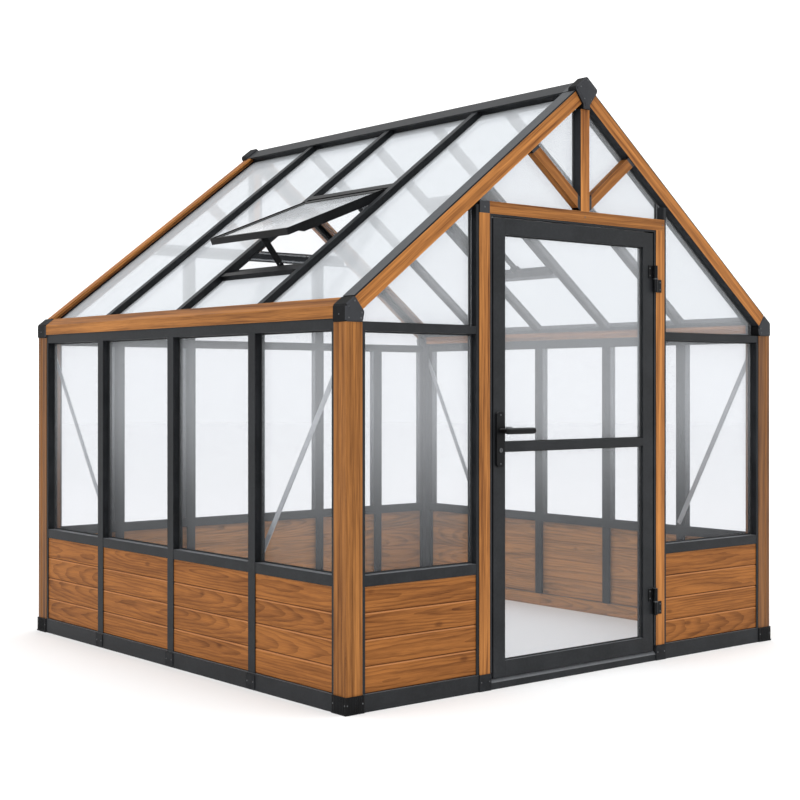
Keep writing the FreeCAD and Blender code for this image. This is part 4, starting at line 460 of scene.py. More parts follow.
def lofted(rings):
    """Closed surface through rings of points, from the first to the last, with flat ends."""
    rings = np.asarray(rings)
    rows, count = rings.shape[:2]
    first = list(range(count))[::-1]
    last = list(range(count * (rows - 1), count * rows))
    return rings.reshape(-1, 3), grid_quads(rows, count) + [first, last]


def socket_screw(radius, height, sides=12):
    """Button head with a hexagon socket, along +Z from its seat: at angle a and profile step t the point
    is (r cos a, r sin a, h), with r and h from the step's row, and the socket's r swelled to a hexagon's
    side."""
    angle = np.arange(sides) * 2 * math.pi / sides
    hexagon = math.cos(math.pi / 6) / np.cos(angle % (math.pi / 3) - math.pi / 6)
    plain = np.ones(sides)
    seat, rim, floor = -0.4 * height, 0.35 * height, 0.3 * height
    reach = radius * np.stack([0.02 * plain, plain, plain, 0.8 * plain, 0.5 * hexagon, 0.46 * hexagon,
                               0.02 * plain])
    level = np.array([seat, seat, rim, height, height, floor, floor])[:, None] + 0 * reach
    return lofted(np.stack([reach * np.cos(angle), reach * np.sin(angle), level], axis=-1))


def at_spots(shape, spots, normals):
    """A copy of a shape at each spot, with its +Z along the spot's normal."""
    points, faces = shape
    normals = np.asarray(normals, float)
    helper = np.where(np.abs(normals[:, 2:]) > 0.9, X_AXIS, Z_AXIS)
    across = np.cross(helper, normals)
    across /= np.linalg.norm(across, axis=1, keepdims=True)
    up = np.cross(normals, across)
    turn = np.stack([across, up, normals], axis=1)
    placed = np.einsum("pk,skd->spd", points, turn) + np.asarray(spots)[:, None]
    return joined([(copy, faces) for copy in placed])


def spots_on_face(points, normal, fractions):
    """Spots on the outermost face of a solid towards a normal, as fractions of its width and height."""
    plane, flat = face_outline(points, normal)
    low, high = flat.min(axis=0), flat.max(axis=0)
    return on_plane(plane, low + np.asarray(fractions) * (high - low))


def ribbed_skin(corner, along, outward, width, foot, tall, pitch, rise):
    """Upright ribs on a flat face: across the face at u the skin stands off it by
    rise (1 - cos(2 pi u / pitch)) / 2, between two heights, with its back sunk in the face."""
    ribs = max(2, round(width / pitch))
    u = np.linspace(0, width, ribs * 6 + 1)
    swell = rise * (1 - np.cos(2 * math.pi * u * ribs / width)) / 2
    offset = np.concatenate([swell, np.full(len(u), -rise)])
    across = np.concatenate([u, u[::-1]])
    section = corner + across[:, None] * along + offset[:, None] * outward
    levels = np.array([foot, foot + tall])[:, None, None] * Z_AXIS
    return lofted(section[None] + levels)


def domed_cover(outline, rise, edge):
    """Shallow dome over a convex outline: at scale s the point is s times the outline's point, standing
    off by edge + rise (1 - s squared), with a sunk rim at the full outline."""
    scales = np.array([1.0, 1.0, 0.97, 0.88, 0.74, 0.56, 0.36, 0.14])
    level = np.concatenate([[-edge, 0.3 * edge], edge + rise * (1 - scales[2:] ** 2)])
    rings = scales[:, None, None] * outline[None]
    heights = np.broadcast_to(level[:, None, None], (*rings.shape[:2], 1))
    return lofted(np.concatenate([rings, heights], axis=-1))


def slot_plug(width, tall, depth, sides=10):
    """Key slot, along +Z: two half rings of points joined into an oblong, carried from below to depth."""
    half_turn = np.linspace(0, math.pi, sides)
    angle = np.concatenate([half_turn, half_turn + math.pi])
    shift = np.repeat([tall - width, width - tall], sides) / 2
    ring = np.stack([np.cos(angle) * width / 2, np.sin(angle) * width / 2 + shift, 0 * angle], axis=1)
    rise = depth * Z_AXIS
    return lofted([ring - rise, ring + rise])


def prism(ring, step):
    """A flat ring of points carried along a step, closed at both ends, whichever way round it runs."""
    turn = np.cross(ring, np.roll(ring, -1, axis=0)).sum(axis=0)
    ring = ring if turn @ step > 0 else ring[::-1]
    return lofted([ring, ring + step])


def inset_corners(corners, margins):
    """Corners of a convex outline moved inward, each edge by its own margin: the meeting point of two
    neighbouring edge lines, both moved along their inward normals."""
    ahead = np.roll(corners, -1, axis=0) - corners
    ahead /= np.linalg.norm(ahead, axis=1, keepdims=True)
    inward = np.stack([-ahead[:, 1], ahead[:, 0]], axis=1)
    reach = np.einsum("kd,kd->k", inward, corners) + margins
    before = np.roll(inward, 1, axis=0)
    lines = np.stack([before, inward], axis=1)
    return np.linalg.solve(lines, np.stack([np.roll(reach, 1), reach], axis=1)[..., None])[..., 0]


def bead_loop(corners, margins, section):
    """Glazing bead: a section carried round a closed outline with mitred corners. At section point (i, h)
    the loop is the outline moved inward by the edge's margin plus i, standing h off the pane."""
    loops = [np.column_stack([inset_corners(corners, margins + inward), np.full(len(corners), rise)])
             for inward, rise in section]
    points = np.stack(loops, axis=1)
    return points.reshape(-1, 3), grid_quads(len(corners), len(section), close_rows=True)


def joined(parts):
    """One shape from several."""
    points, faces, count = [], [], 0
    for some_points, some_faces in parts:
        points.append(np.asarray(some_points))
        faces += [[corner + count for corner in face] for face in some_faces]
        count += len(some_points)
    return np.concatenate(points), faces


# Reading the CAD solids

def solids(node):
    """Corner points of each separate solid of a CAD node: triangles that share a corner take the lowest
    label among them, until no label changes."""
    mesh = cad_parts[node].data
    places = np.empty(len(mesh.vertices) * 3)
    mesh.vertices.foreach_get("co", places)
    points, weld = np.unique(places.reshape(-1, 3).round(5), axis=0, return_inverse=True)
    mesh.calc_loop_triangles()
    corners = np.empty(len(mesh.loop_triangles) * 3, int)
    mesh.loop_triangles.foreach_get("vertices", corners)
    corners = weld.ravel()[corners].reshape(-1, 3)
    label = np.arange(len(points))
    while True:
        lowest = np.repeat(label[corners].min(axis=1), 3)
        spread = label.copy()
        np.minimum.at(spread, corners.ravel(), lowest)
        if (spread == label).all():
            break
        label = spread
    return [points[label == mark] for mark in np.unique(label)]


def face_outline(points, normal, depth=0.4 * MILLIMETRE):
    """Corners of the outermost flat face of a solid towards a normal, in order round the face, as a plane
    (origin, right, up, normal) and flat coordinates on it."""
    normal = np.asarray(normal, float)
    reach = points @ normal
    face = points[reach > reach.max() - depth]
    helper = Z_AXIS if abs(normal[2]) < 0.9 else Y_AXIS
    right = np.cross(helper, normal)
    right /= np.linalg.norm(right)
    up = np.cross(normal, right)
    origin = face.mean(axis=0)
    flat = np.stack([(face - origin) @ right, (face - origin) @ up], axis=1)
    flat = flat[np.argsort(np.arctan2(flat[:, 1], flat[:, 0]))]
    return (origin, right, up, normal), flat


def on_plane(plane, flat):
    """Points of a plane from flat coordinates, or from flat coordinates and a height."""
    origin, right, up, normal = plane
    flat = np.asarray(flat)
    placed = origin + flat[:, :1] * right + flat[:, 1:2] * up
    return placed + flat[:, 2:3] * normal if flat.shape[1] > 2 else placed


def pane_normal(pane):
    """Direction square to a pane, away from the middle of the room."""
    centre = pane.mean(axis=0)
    normal = np.linalg.svd(pane - centre)[2][2]
    return -normal if normal @ (centre - ROOM_MIDDLE) < 0 else normal


def foot_faces():
    """The two outer upright faces of each corner foot: lower corner, direction along the face, outward
    normal and top."""
    lip = settings("fittings").foot_lip
    for foot in solids("corner_feet"):
        side = np.sign(foot.mean(axis=0))
        outer = np.where(side > 0, foot.max(axis=0), foot.min(axis=0)) - side * lip
        for axis in (0, 1):
            along = -side[1 - axis] * AXES[1 - axis]
            outward = side[axis] * AXES[axis]
            corner = np.array([outer[0], outer[1], 0.0])
            if np.cross(along, Z_AXIS) @ outward < 0:
                corner = corner + along * FOOT_SIDE
                along = -along
            yield corner, along, outward, foot[:, 2].max()


def over_slope(x, z):
    """Height of a place square to the roof slope on its side."""
    return z * math.cos(ROOF_PITCH) + abs(x) * math.sin(ROOF_PITCH)


# Dressing the nodes and adding pieces

def add_piece(name, shape, finish, body, smooth=False):
    """Put a shape into the scene as a named piece that rides on a body."""
    points, faces = shape
    mesh = bpy.data.meshes.new(name)
    mesh.from_pydata(points.tolist(), [], faces)
    mesh.validate()
    mesh.polygons.foreach_set("use_smooth", [smooth] * len(mesh.polygons))
    mesh.materials.append(bpy.data.materials[finish])
    piece = bpy.data.objects.new(name, mesh)
    bpy.context.scene.collection.objects.link(piece)
    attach(piece, body)


def dress(finish, *names):
    for name in names:
        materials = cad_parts[name].data.materials
        materials.clear()
        materials.append(finish)


def dress_faces(finish, node, picked):
    """Give a second finish to the faces of a node that a test on their normals and centres picks."""
    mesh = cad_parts[node].data
    count = len(mesh.polygons)
    normals, centres = np.empty(count * 3), np.empty(count * 3)
    mesh.polygons.foreach_get("normal", normals)
    mesh.polygons.foreach_get("center", centres)
    chosen = picked(normals.reshape(-1, 3), centres.reshape(-1, 3))
    mesh.materials.append(bpy.data.materials[finish])
    mesh.polygons.foreach_set("material_index", chosen.astype(np.int32))


def towards_middle(normals, centres):
    """Faces that look towards the middle of the floor."""
    return (normals[:, :2] * np.sign(centres[:, :2])).min(axis=1) < -0.9


def at_rear_edge(normals, centres):
    return centres[:, 1] > REAR_EDGES


# Settings

def colour_setting(name, description, default):
    return FloatVectorProperty(name=name, description=description, subtype="COLOR", size=3, min=0, max=1,
                               default=default)


def length_setting(name, description, millimetres):
    return FloatProperty(name=name, description=description, default=millimetres * MILLIMETRE,
                         unit="LENGTH", subtype="DISTANCE")


def number_setting(name, description, default):
    return FloatProperty(name=name, description=description, default=default)


class FinishSettings(bpy.types.PropertyGroup):
    """Colours of the finishes."""

    wood_dark: colour_setting("Dark grain", "Pores and dark streaks of the grain", (0.060, 0.0165, 0.0038))
    wood_middle: colour_setting("Grain", "Middle tone of the wood grain", (0.200, 0.0650, 0.0106))
    wood_light: colour_setting("Light grain", "Pale streaks of the wood grain", (0.400, 0.165, 0.043))
    charcoal: colour_setting("Charcoal", "Bars, rails and door", (0.0059, 0.0069, 0.0083))
    charcoal_worn: colour_setting("Worn charcoal", "Edges and clouds of the bars", (0.019, 0.021, 0.024))
    black: colour_setting("Black", "Joint covers and scuffs of the feet", (0.0085, 0.0093, 0.0108))
    # Painted light: lighter black for the connector faces that look along the ridge
    panel: colour_setting("Panel black", "Gable faces of the connectors", (0.034, 0.0355, 0.0395))
    black_worn: colour_setting("Worn black", "Scuffs of covers, bloom of seals", (0.027, 0.029, 0.032))
    foot_black: colour_setting("Foot black", "Feet, connectors and satin hardware", (0.003, 0.0031, 0.0034))
    silver: colour_setting("Silver", "Bare aluminium braces", (0.46, 0.475, 0.49))
    steel: colour_setting("Steel", "Bolts and lock fittings", (0.55, 0.56, 0.58))
    dark_steel: colour_setting("Dark steel", "Screws and key cylinder", (0.13, 0.135, 0.14))
    rubber: colour_setting("Rubber", "Seals", (0.014, 0.015, 0.016))
    pane_tint: colour_setting("Pane tint", "Light through a wall pane", (0.950, 0.953, 0.962))
    roof_tint: colour_setting("Roof tint", "Light through a roof pane", (0.903, 0.915, 0.926))
    # Colour of the painted reflection on the panes
    pane_reflection: colour_setting("Pane veil", "Pale film on a pane", (0.64, 0.665, 0.69))


class FittingSettings(bpy.types.PropertyGroup):
    """Sizes of the small fittings."""

    screw_radius: length_setting("Screw radius", "Head of a screw", 3.2)
    screw_height: length_setting("Screw height", "Head of a screw", 1.0)
    rib_pitch: length_setting("Rib pitch", "Upright ribs of the feet", 8)
    rib_rise: length_setting("Rib rise", "Upright ribs of the feet", 1.5)
    foot_lip: length_setting("Foot lip", "Lip of a corner foot beyond its wall", 2)
    bead_width: length_setting("Bead width", "Glazing bead along the edge of a pane", 5)
    bead_height: length_setting("Bead height", "Glazing bead off the pane", 3.2)
    roof_bead_height: length_setting("Roof bead height", "Glazing bead off a roof pane", 0.9)
    vent_lip: length_setting("Vent lip", "Trim of a vent above its sash", 4)
    vent_skirt: length_setting("Vent skirt", "Trim of a vent below its sash", 14)
    vent_toe: length_setting("Vent toe", "Trim of a vent below its sash, over the sill bar", 3)
    trim_thick: length_setting("Trim thickness", "Trim of a vent off its sash", 2)
    cover_rise: length_setting("Cover rise", "Dome of the ridge cover", 3)
    cover_edge: length_setting("Cover edge", "Rim of the ridge cover", 0.8)
    cover_share: number_setting("Cover share", "Ridge cover's share of its connector's face", 0.95)


class StageSettings(bpy.types.PropertyGroup):
    """Camera, floor and light."""

    camera_place: FloatVectorProperty(name="Camera", description="Place of the camera",
                                      subtype="TRANSLATION", size=3, default=(-4.404, -5.345, 1.163))
    heading: FloatProperty(name="Heading", description="Camera's turn from the ridge direction",
                           subtype="ANGLE", default=math.radians(39.89))
    lens: number_setting("Lens", "Focal length in millimetres", 66.74)
    shift_x: number_setting("Shift X", "Sideways lens shift", -0.0089)
    shift_y: number_setting("Shift Y", "Upward lens shift", -0.0176)
    floor_colour: colour_setting("Floor", "Pale studio floor", (0.96, 0.96, 0.96))
    sky_strength: number_setting("Sky", "White surround as it is seen", 1.35)
    sky_fill: number_setting("Sky fill", "White surround as it lights the part", 1.0)
    key_strength: number_setting("Key", "Soft light from the front left", 1.15)
    top_strength: number_setting("Top", "Soft light from above", 0.6)
    right_strength: number_setting("Right", "Soft light from the right", 0.3)


def settings(name):
    return getattr(bpy.context.scene, "greenhouse_" + name)


# Operators

class WoodFrames(bpy.types.Operator):
    """Finish the posts, beams, rafters, jambs and trusses in wood grain along each member"""
    bl_idname = "greenhouse.wood_frames"
    bl_label = "Wood-grain frames"

    def execute(self, context):
        chosen = settings("finish")
        colours = (chosen.wood_dark, chosen.wood_middle, chosen.wood_light)
        axes = {
            "upright": (lambda f: f.z, lambda f: f.x, lambda f: f.y),
            "eaves": (lambda f: f.y, lambda f: f.x, lambda f: f.z),
            "header": (lambda f: f.x, lambda f: f.z, lambda f: f.y),
            "rafters": self.tilted(ROOF_PITCH),
            "diagonals": self.tilted(math.pi - TRUSS_PITCH),
        }
        # Each member: its node, axes, gain and the faces that take the dark colour. The gain is painted
        # light: it makes each member's foil lighter by its own amount.
        members = {
            "posts": ("corner_posts", "upright", 1.0, self.rear_right_inside),
            "jambs": ("door_jambs", "upright", 1.45, None),
            "eaves": ("eave_beams", "eaves", 1.1, self.up_towards_ridge),
            "header": ("door_header", "header", 1.12, None),
            "tie_beam": ("rear_tie_beam", "header", 1.0, self.towards_front),
            "rear_rafters": ("rear_rafters", "rafters", 1.3, None),
            "front_rafters": ("front_rafters", "rafters", 1.5, self.off_gables),
            "king_posts": ("king_posts", "upright", 1.6, self.off_gables),
            "diagonals": ("truss_diagonals", "diagonals", 1.2, None),
        }
        for name, (node, direction, gain, dark_faces) in members.items():
            # The far posts get painted shade, darker and greyer than the near one.
            dull = self.far_posts if name == "posts" else None
            finish = wood_grain("wood_grain_" + name, axes[direction], colours, gain,
                                chosen.charcoal_worn, dark_faces, dull)
            dress(finish, node)
        # The rear edges also get painted light, a gain of 1.3.
        wood_grain("wood_grain_rear_edges", axes["rafters"], colours, 1.3, chosen.charcoal,
                   self.beside_panes)
        return {"FINISHED"}

    @staticmethod
    def tilted(pitch):
        """Axes of a pair of members that lean towards the ridge."""
        return (lambda f: f.z * math.sin(pitch) - abs(f.x) * math.cos(pitch),
                lambda f: f.z * math.cos(pitch) + abs(f.x) * math.sin(pitch), lambda f: f.y)

    # Faces of the front rafters and king posts that do not look along the ridge: painted shade, dark
    # charcoal on their sides and undersides.
    @staticmethod
    def off_gables(finish):
        return abs(finish.facing(1)) < 0.5

    @staticmethod
    def towards_front(finish):
        return finish.facing(1) < -0.5

    @staticmethod
    def up_towards_ridge(finish):
        return (finish.facing(0) * finish.x < -0.5) * (finish.facing(2) > 0.3)

    @staticmethod
    def rear_right_inside(finish):
        inside = (finish.facing(0) < -0.5) + (finish.facing(1) < -0.5)
        return (finish.x > 0) * (finish.y > 0) * inside

    @staticmethod
    def far_posts(finish):
        return 1 - (finish.x < 0) * (finish.y < 0)

    @staticmethod
    def beside_panes(finish):
        low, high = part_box("left_roof_panes")
        return over_slope(finish.x, finish.z) < over_slope(low.x, low.z) + PANE_LEDGE


class WallPlanks(bpy.types.Operator):
    """Finish the wall planks in figured wood grain, board by board"""
    bl_idname = "greenhouse.wall_planks"
    bl_label = "Wall planks"

    def execute(self, context):
        chosen = settings("finish")
        colours = (chosen.wood_dark, chosen.wood_middle, chosen.wood_light)
        low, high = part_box("wall_planks")
        pitch = (high.z - low.z) / PLANKS_IN_PANEL
        dress(plank_grain("wood_grain_boards", colours, pitch, low.z), "wall_planks")
        return {"FINISHED"}


class CharcoalBars(bpy.types.Operator):
    """Finish the bars, rails, ridge and door in charcoal powder coat"""
    bl_idname = "greenhouse.charcoal_bars"
    bl_label = "Charcoal bars"

    def execute(self, context):
        chosen = settings("finish")
        coat = (chosen.charcoal, chosen.charcoal_worn, 700.0, 0.42, 0.22)
        dress(powder_coat("charcoal_powder_coat", *coat), "base_rails", "wall_mullions",
              "rear_gable_mullions", "post_liners", "jamb_liners", "sill_rails", "eave_rails",
              "gable_eave_bars", "left_roof_bars", "right_roof_bars", "ridge_beam", "ridge_cap",
              "door_frame", "door_threshold", "door_stiles")
        low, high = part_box("door_rails")
        dress(powder_coat("jointed_powder_coat", *coat, (low.x, high.x)), "door_rails")
        dress_faces("wood_grain_boards", "base_rails", towards_middle)
        for side in ("left", "right"):
            dress_faces("wood_grain_rear_edges", side + "_roof_bars", at_rear_edge)
        return {"FINISHED"}


class BlackMouldings(bpy.types.Operator):
    """Finish the feet, connectors, joint covers, hardware, vents and seals in black"""
    bl_idname = "greenhouse.black_mouldings"
    bl_label = "Black mouldings and hardware"

    def execute(self, context):
        chosen = settings("finish")
        dress(moulded_black("moulded_black", chosen.foot_black, chosen.black, chosen.panel),
              "eave_connectors", "ridge_connectors", "header_end_block", "truss_shoes")
        dress(moulded_black("foot_black", chosen.foot_black, chosen.black), "corner_feet")
        dress(moulded_black("cover_black", chosen.black, chosen.black_worn), "jamb_feet",
              "base_joint_covers")
        dress(powder_coat("satin_black", chosen.foot_black, chosen.black, 1100.0, 0.3, 0.12),
              "hinge_jamb_halves", "hinge_leaf_halves", "handle_plates", "outer_lever", "inner_lever",
              "left_vent_stay", "right_vent_stay", "vent_bars", "left_vent_sash", "right_vent_sash")
        dress(soft_rubber("black_rubber", chosen.rubber, chosen.black_worn), "door_seals")
        return {"FINISHED"}


class MetalFittings(bpy.types.Operator):
    """Finish the braces, bolts and lock fittings in bare metal"""
    bl_idname = "greenhouse.metal_fittings"
    bl_label = "Metal fittings"

    def execute(self, context):
        chosen = settings("finish")
        even = (300.0, 300.0, 300.0)
        metals = {
            "brushed_aluminium": (chosen.silver, 0.75, 0.36, (400.0, 60.0, 25.0), ("wall_braces",)),
            "bright_steel": (chosen.steel, 0.6, 0.22, even, ("brace_bolts", "strike_plate", "lock_case",
                                                             "latch_bolt", "lever_spindle")),
            "dark_steel": (chosen.dark_steel, 0.6, 0.34, even, ("lock_cylinder", "hinge_rings")),
        }
        for name, (colour, dull, roughness, stretch, nodes) in metals.items():
            dress(brushed_metal(name, colour, scaled(colour, dull), roughness, stretch), *nodes)
        return {"FINISHED"}


class Glazing(bpy.types.Operator):
    """Finish the panes in clear glazing"""
    bl_idname = "greenhouse.glazing"
    bl_label = "Glazing"

    def execute(self, context):
        chosen = settings("finish")
        wall, roof, reflection_colour = chosen.pane_tint, chosen.roof_tint, chosen.pane_reflection
        # Each: tint, colour of the painted reflection, its share at the sills and at the eaves, gloss and
        # the nodes. The painted reflection is strongest on the left vent and the left roof.
        panes = {
            "clear_pane": (wall, reflection_colour, 0.08, 0.19, 0.5, ("side_panes", "gable_wall_panes", "gable_panes",
                                                         "door_panes")),
            "clear_roof_pane": (roof, reflection_colour, 0.4, 0.46, 0.2, ("left_roof_panes",)),
            "clear_shaded_pane": (roof, reflection_colour, 0.1, 0.14, 0.2, ("right_roof_panes", "right_vent_pane")),
            "clear_vent_pane": (wall, scaled(reflection_colour, 1.1), 0.62, 0.66, 0.5, ("left_vent_pane",)),
        }
        for name, (*look, nodes) in panes.items():
            dress(clear_pane(name, *look), *nodes)
        return {"FINISHED"}


class GlazingBeads(bpy.types.Operator):
    """Add black rubber beads round the panes: on both faces, but only outside on the roof"""
    bl_idname = "greenhouse.glazing_beads"
    bl_label = "Glazing beads"

    lap = 10 * MILLIMETRE
    profile = np.array([(-0.2, -0.1), (1.0, -0.1), (0.92, 0.35), (0.6, 0.8), (0.2, 1.0), (-0.2, 1.0)])
    bodies = {"side_panes": "structure", "gable_wall_panes": "structure", "gable_panes": "structure",
              "left_roof_panes": "structure", "right_roof_panes": "structure", "door_panes": "door",
              "left_vent_pane": "left_vent", "right_vent_pane": "right_vent"}

    def execute(self, context):
        chosen = settings("fittings")
        for node, body in self.bodies.items():
            high = chosen.roof_bead_height if "roof" in node else chosen.bead_height
            section = self.profile * (chosen.bead_width, high)
            loops = [loop for pane in solids(node) for loop in self.beads(node, pane, section)]
            add_piece(node.rstrip("s") + "_beads", joined(loops), "black_rubber", body)
        return {"FINISHED"}

    def beads(self, node, pane, section):
        """Beads on the outer and the inner face of one pane."""
        normal = pane_normal(pane)
        for side, sign in (("outer", 1), ("inner", -1)):
            if "roof" in node and side == "inner":
                continue
            plane, flat = face_outline(pane, normal * sign)
            ahead = np.roll(flat, -1, axis=0) - flat
            direction = ahead @ np.stack([plane[1], plane[2]])
            upright = np.abs(direction[:, 2]) > 0.9 * np.linalg.norm(ahead, axis=1)
            points, faces = bead_loop(flat, self.margins(node, side, upright, ahead), section)
            yield on_plane(plane, points), faces

    def margins(self, node, side, upright, ahead):
        """How far each edge of a pane is covered by the member that holds it."""
        covered = np.full(len(ahead), self.lap)
        if "roof" in node or "vent" in node:
            covered[:] = 0
        elif node == "gable_panes":
            covered[np.linalg.norm(ahead, axis=1) < 6 * self.lap] = 0
        elif node != "door_panes" and side == "outer":
            covered[upright] = 0
        return covered


class VentTrim(bpy.types.Operator):
    """Add thin dark plates to the sides and foot of each vent sash, with a lip above and a skirt below"""
    bl_idname = "greenhouse.vent_trim"
    bl_label = "Vent trim"

    sill_reach = 52 * MILLIMETRE
    skirt_slant = 24 * MILLIMETRE
    hinge_reach = 20 * MILLIMETRE
    sunk = 1 * MILLIMETRE

    def execute(self, context):
        for side in ("left", "right"):
            add_piece(side + "_vent_trim", joined(self.plates(side)), "satin_black", side + "_vent")
        return {"FINISHED"}

    def plates(self, side):
        """Two side plates, which deepen behind the sill bar, and a foot plate, in the axes of the sash.
        Its stiles and foot share corners, so they come as its longest solid."""
        chosen = settings("fittings")
        normal = pane_normal(solids(side + "_vent_pane")[0])
        slope = np.cross(Y_AXIS, normal)
        slope *= np.sign(slope[2])
        axes = np.stack([slope, normal])
        sash = max(solids(side + "_vent_sash"), key=lambda points: np.ptp(points @ slope))
        foot, hinge = (sash @ slope).min(), (sash @ slope).max() - self.hinge_reach
        low, high = (sash @ normal).min(), (sash @ normal).max() + chosen.vent_lip
        toe, skirt = low - chosen.vent_toe, low - chosen.vent_skirt
        sill = foot + self.sill_reach
        outline = np.array([(foot, high), (foot, toe), (sill, toe), (sill + self.skirt_slant, skirt),
                            (hinge - 2 * self.skirt_slant, skirt), (hinge, low), (hinge, high)])
        for outward in (Y_AXIS, -Y_AXIS):
            face = (sash @ outward).max() - self.sunk
            yield prism(outline @ axes + face * outward, (self.sunk + chosen.trim_thick) * outward)
        front, back = foot - self.sunk, foot + self.sunk
        end = np.array([(front, high), (front, toe), (back, toe), (back, high)])
        yield prism(end @ axes + sash[:, 1].min() * Y_AXIS, np.ptp(sash[:, 1]) * Y_AXIS)


class FootRibs(bpy.types.Operator):
    """Add upright ribs to the outer faces of the corner feet"""
    bl_idname = "greenhouse.foot_ribs"
    bl_label = "Foot ribs"

    side_margin = 13 * MILLIMETRE
    lower_margin = 9 * MILLIMETRE
    upper_margin = 4 * MILLIMETRE

    def execute(self, context):
        chosen = settings("fittings")
        width = FOOT_SIDE - 2 * self.side_margin
        skins = []
        for corner, along, outward, top in foot_faces():
            tall = top - self.lower_margin - self.upper_margin
            skins.append(ribbed_skin(corner + along * self.side_margin, along, outward, width,
                                     self.lower_margin, tall, chosen.rib_pitch, chosen.rib_rise))
        add_piece("foot_ribs", joined(skins), "foot_black", "structure")
        return {"FINISHED"}


class RidgeCover(bpy.types.Operator):
    """Add a domed cover with five screws to the front ridge connector"""
    bl_idname = "greenhouse.ridge_cover"
    bl_label = "Ridge cover"

    screw_turns = (90, 178, 2, 247, 293)
    screw_reach = 0.8

    def execute(self, context):
        chosen = settings("fittings")
        connector = min(solids("ridge_connectors"), key=lambda points: points[:, 1].mean())
        plane, flat = face_outline(connector, FRONT)
        outline = flat * chosen.cover_share
        points, faces = domed_cover(outline, chosen.cover_rise, chosen.cover_edge)
        add_piece("ridge_cover", (on_plane(plane, points), faces), "moulded_black", "structure",
                  smooth=True)
        turns = np.radians(self.screw_turns)
        corners = np.unwrap(np.arctan2(outline[:, 1], outline[:, 0]))
        reach = np.interp(turns, corners, np.linalg.norm(outline, axis=1), period=2 * math.pi)
        reach *= self.screw_reach
        height = chosen.cover_edge + chosen.cover_rise * (1 - self.screw_reach ** 2)
        spots = np.stack([reach * np.cos(turns), reach * np.sin(turns), 0 * turns + height], axis=1)
        screw = socket_screw(chosen.screw_radius, chosen.screw_height)
        add_piece("ridge_connector_screws",
                  at_spots(screw, on_plane(plane, spots), np.tile(FRONT, (len(turns), 1))), "dark_steel",
                  "structure")
        return {"FINISHED"}


class Screws(bpy.types.Operator):
    """Add small socket screws to connectors, feet, covers, header, hinges and handle plates"""
    bl_idname = "greenhouse.screws"
    bl_label = "Screws"

    connector_margin = 9 * MILLIMETRE
    foot_margin = 7 * MILLIMETRE
    header_margin = 12 * MILLIMETRE
    hinge_margin = 9 * MILLIMETRE
    leaf_middle = -1190 * MILLIMETRE
    slot_width = 2.4 * MILLIMETRE
    slot_tall = 10 * MILLIMETRE
    slot_rise = 0.15 * MILLIMETRE

    def execute(self, context):
        chosen = settings("fittings")
        screw = socket_screw(chosen.screw_radius, chosen.screw_height)
        groups = {
            "eave_connector_screws": ("structure", self.eave_connectors()),
            "foot_screws": ("structure", self.feet()),
            "joint_cover_screws": ("structure", self.joint_covers()),
            "header_screws": ("structure", self.header()),
            "hinge_jamb_screws": ("structure", self.hinge_plates("hinge_jamb_halves", 1)),
            "hinge_leaf_screws": ("door", self.hinge_plates("hinge_leaf_halves", -1)),
            "handle_plate_screws": ("door", self.handle_plates()),
        }
        for name, (body, placed) in groups.items():
            pairs = [(spot, normal) for spots, normal in placed for spot in spots]
            add_piece(name, at_spots(screw, *zip(*pairs)), "dark_steel", body)
        self.key_slots()
        return {"FINISHED"}

    def eave_connectors(self):
        """One in each corner of the gable face and one in the middle of the side face."""
        for connector in solids("eave_connectors"):
            side = np.sign(connector.mean(axis=0))
            wall, gable = side[0] * X_AXIS, side[1] * Y_AXIS
            plane, flat = face_outline(connector, gable)
            corners = inset_corners(flat, np.full(len(flat), self.connector_margin))
            yield on_plane(plane, corners), gable
            yield spots_on_face(connector, wall, [(0.5, 0.45)]), wall

    def feet(self):
        runs = np.array([self.foot_margin, FOOT_SIDE - self.foot_margin])
        for corner, along, outward, top in foot_faces():
            yield corner + runs[:, None] * along + 0.55 * top * Z_AXIS, outward
        for foot in solids("jamb_feet"):
            yield spots_on_face(foot, FRONT, [(0.15, 0.55), (0.85, 0.55)]), FRONT

    def joint_covers(self):
        for cover in solids("base_joint_covers"):
            thin = np.argmin(np.ptp(cover, axis=0))
            outward = np.sign(cover[:, thin].mean()) * AXES[thin]
            yield spots_on_face(cover, outward, [(0.17, 0.5), (0.83, 0.5)]), outward

    def header(self):
        low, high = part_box("door_header")
        middle = (low.z + high.z) / 2
        yield [(0.0, low.y, middle), (high.x - self.header_margin, low.y, middle)], FRONT
        yield spots_on_face(solids("header_end_block")[0], FRONT, [(0.5, 0.5)]), FRONT

    def hinge_plates(self, node, side):
        """Two on each plate, near its end away from the knuckle."""
        for half in solids(node):
            end = half[:, 0].max() if side > 0 else half[:, 0].min()
            plate = half[np.abs(half[:, 0] - end) < MILLIMETRE]
            foot, top = plate[:, 2].min(), plate[:, 2].max()
            x, y = end - side * self.hinge_margin, plate[:, 1].min()
            yield [(x, y, foot + share * (top - foot)) for share in (0.22, 0.78)], FRONT

    def handle_plates(self):
        for plate in solids("handle_plates"):
            outward = np.sign(plate[:, 1].mean() - self.leaf_middle) * Y_AXIS
            yield spots_on_face(plate, outward, [(0.5, 0.06), (0.5, 0.94)]), outward

    def key_slots(self):
        low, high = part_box("lock_cylinder")
        middle = (low + high) / 2
        spots = [(middle.x, low.y, middle.z), (middle.x, high.y, middle.z)]
        slot = slot_plug(self.slot_width, self.slot_tall, self.slot_rise)
        add_piece("key_slots", at_spots(slot, spots, [FRONT, -FRONT]), "satin_black", "door")


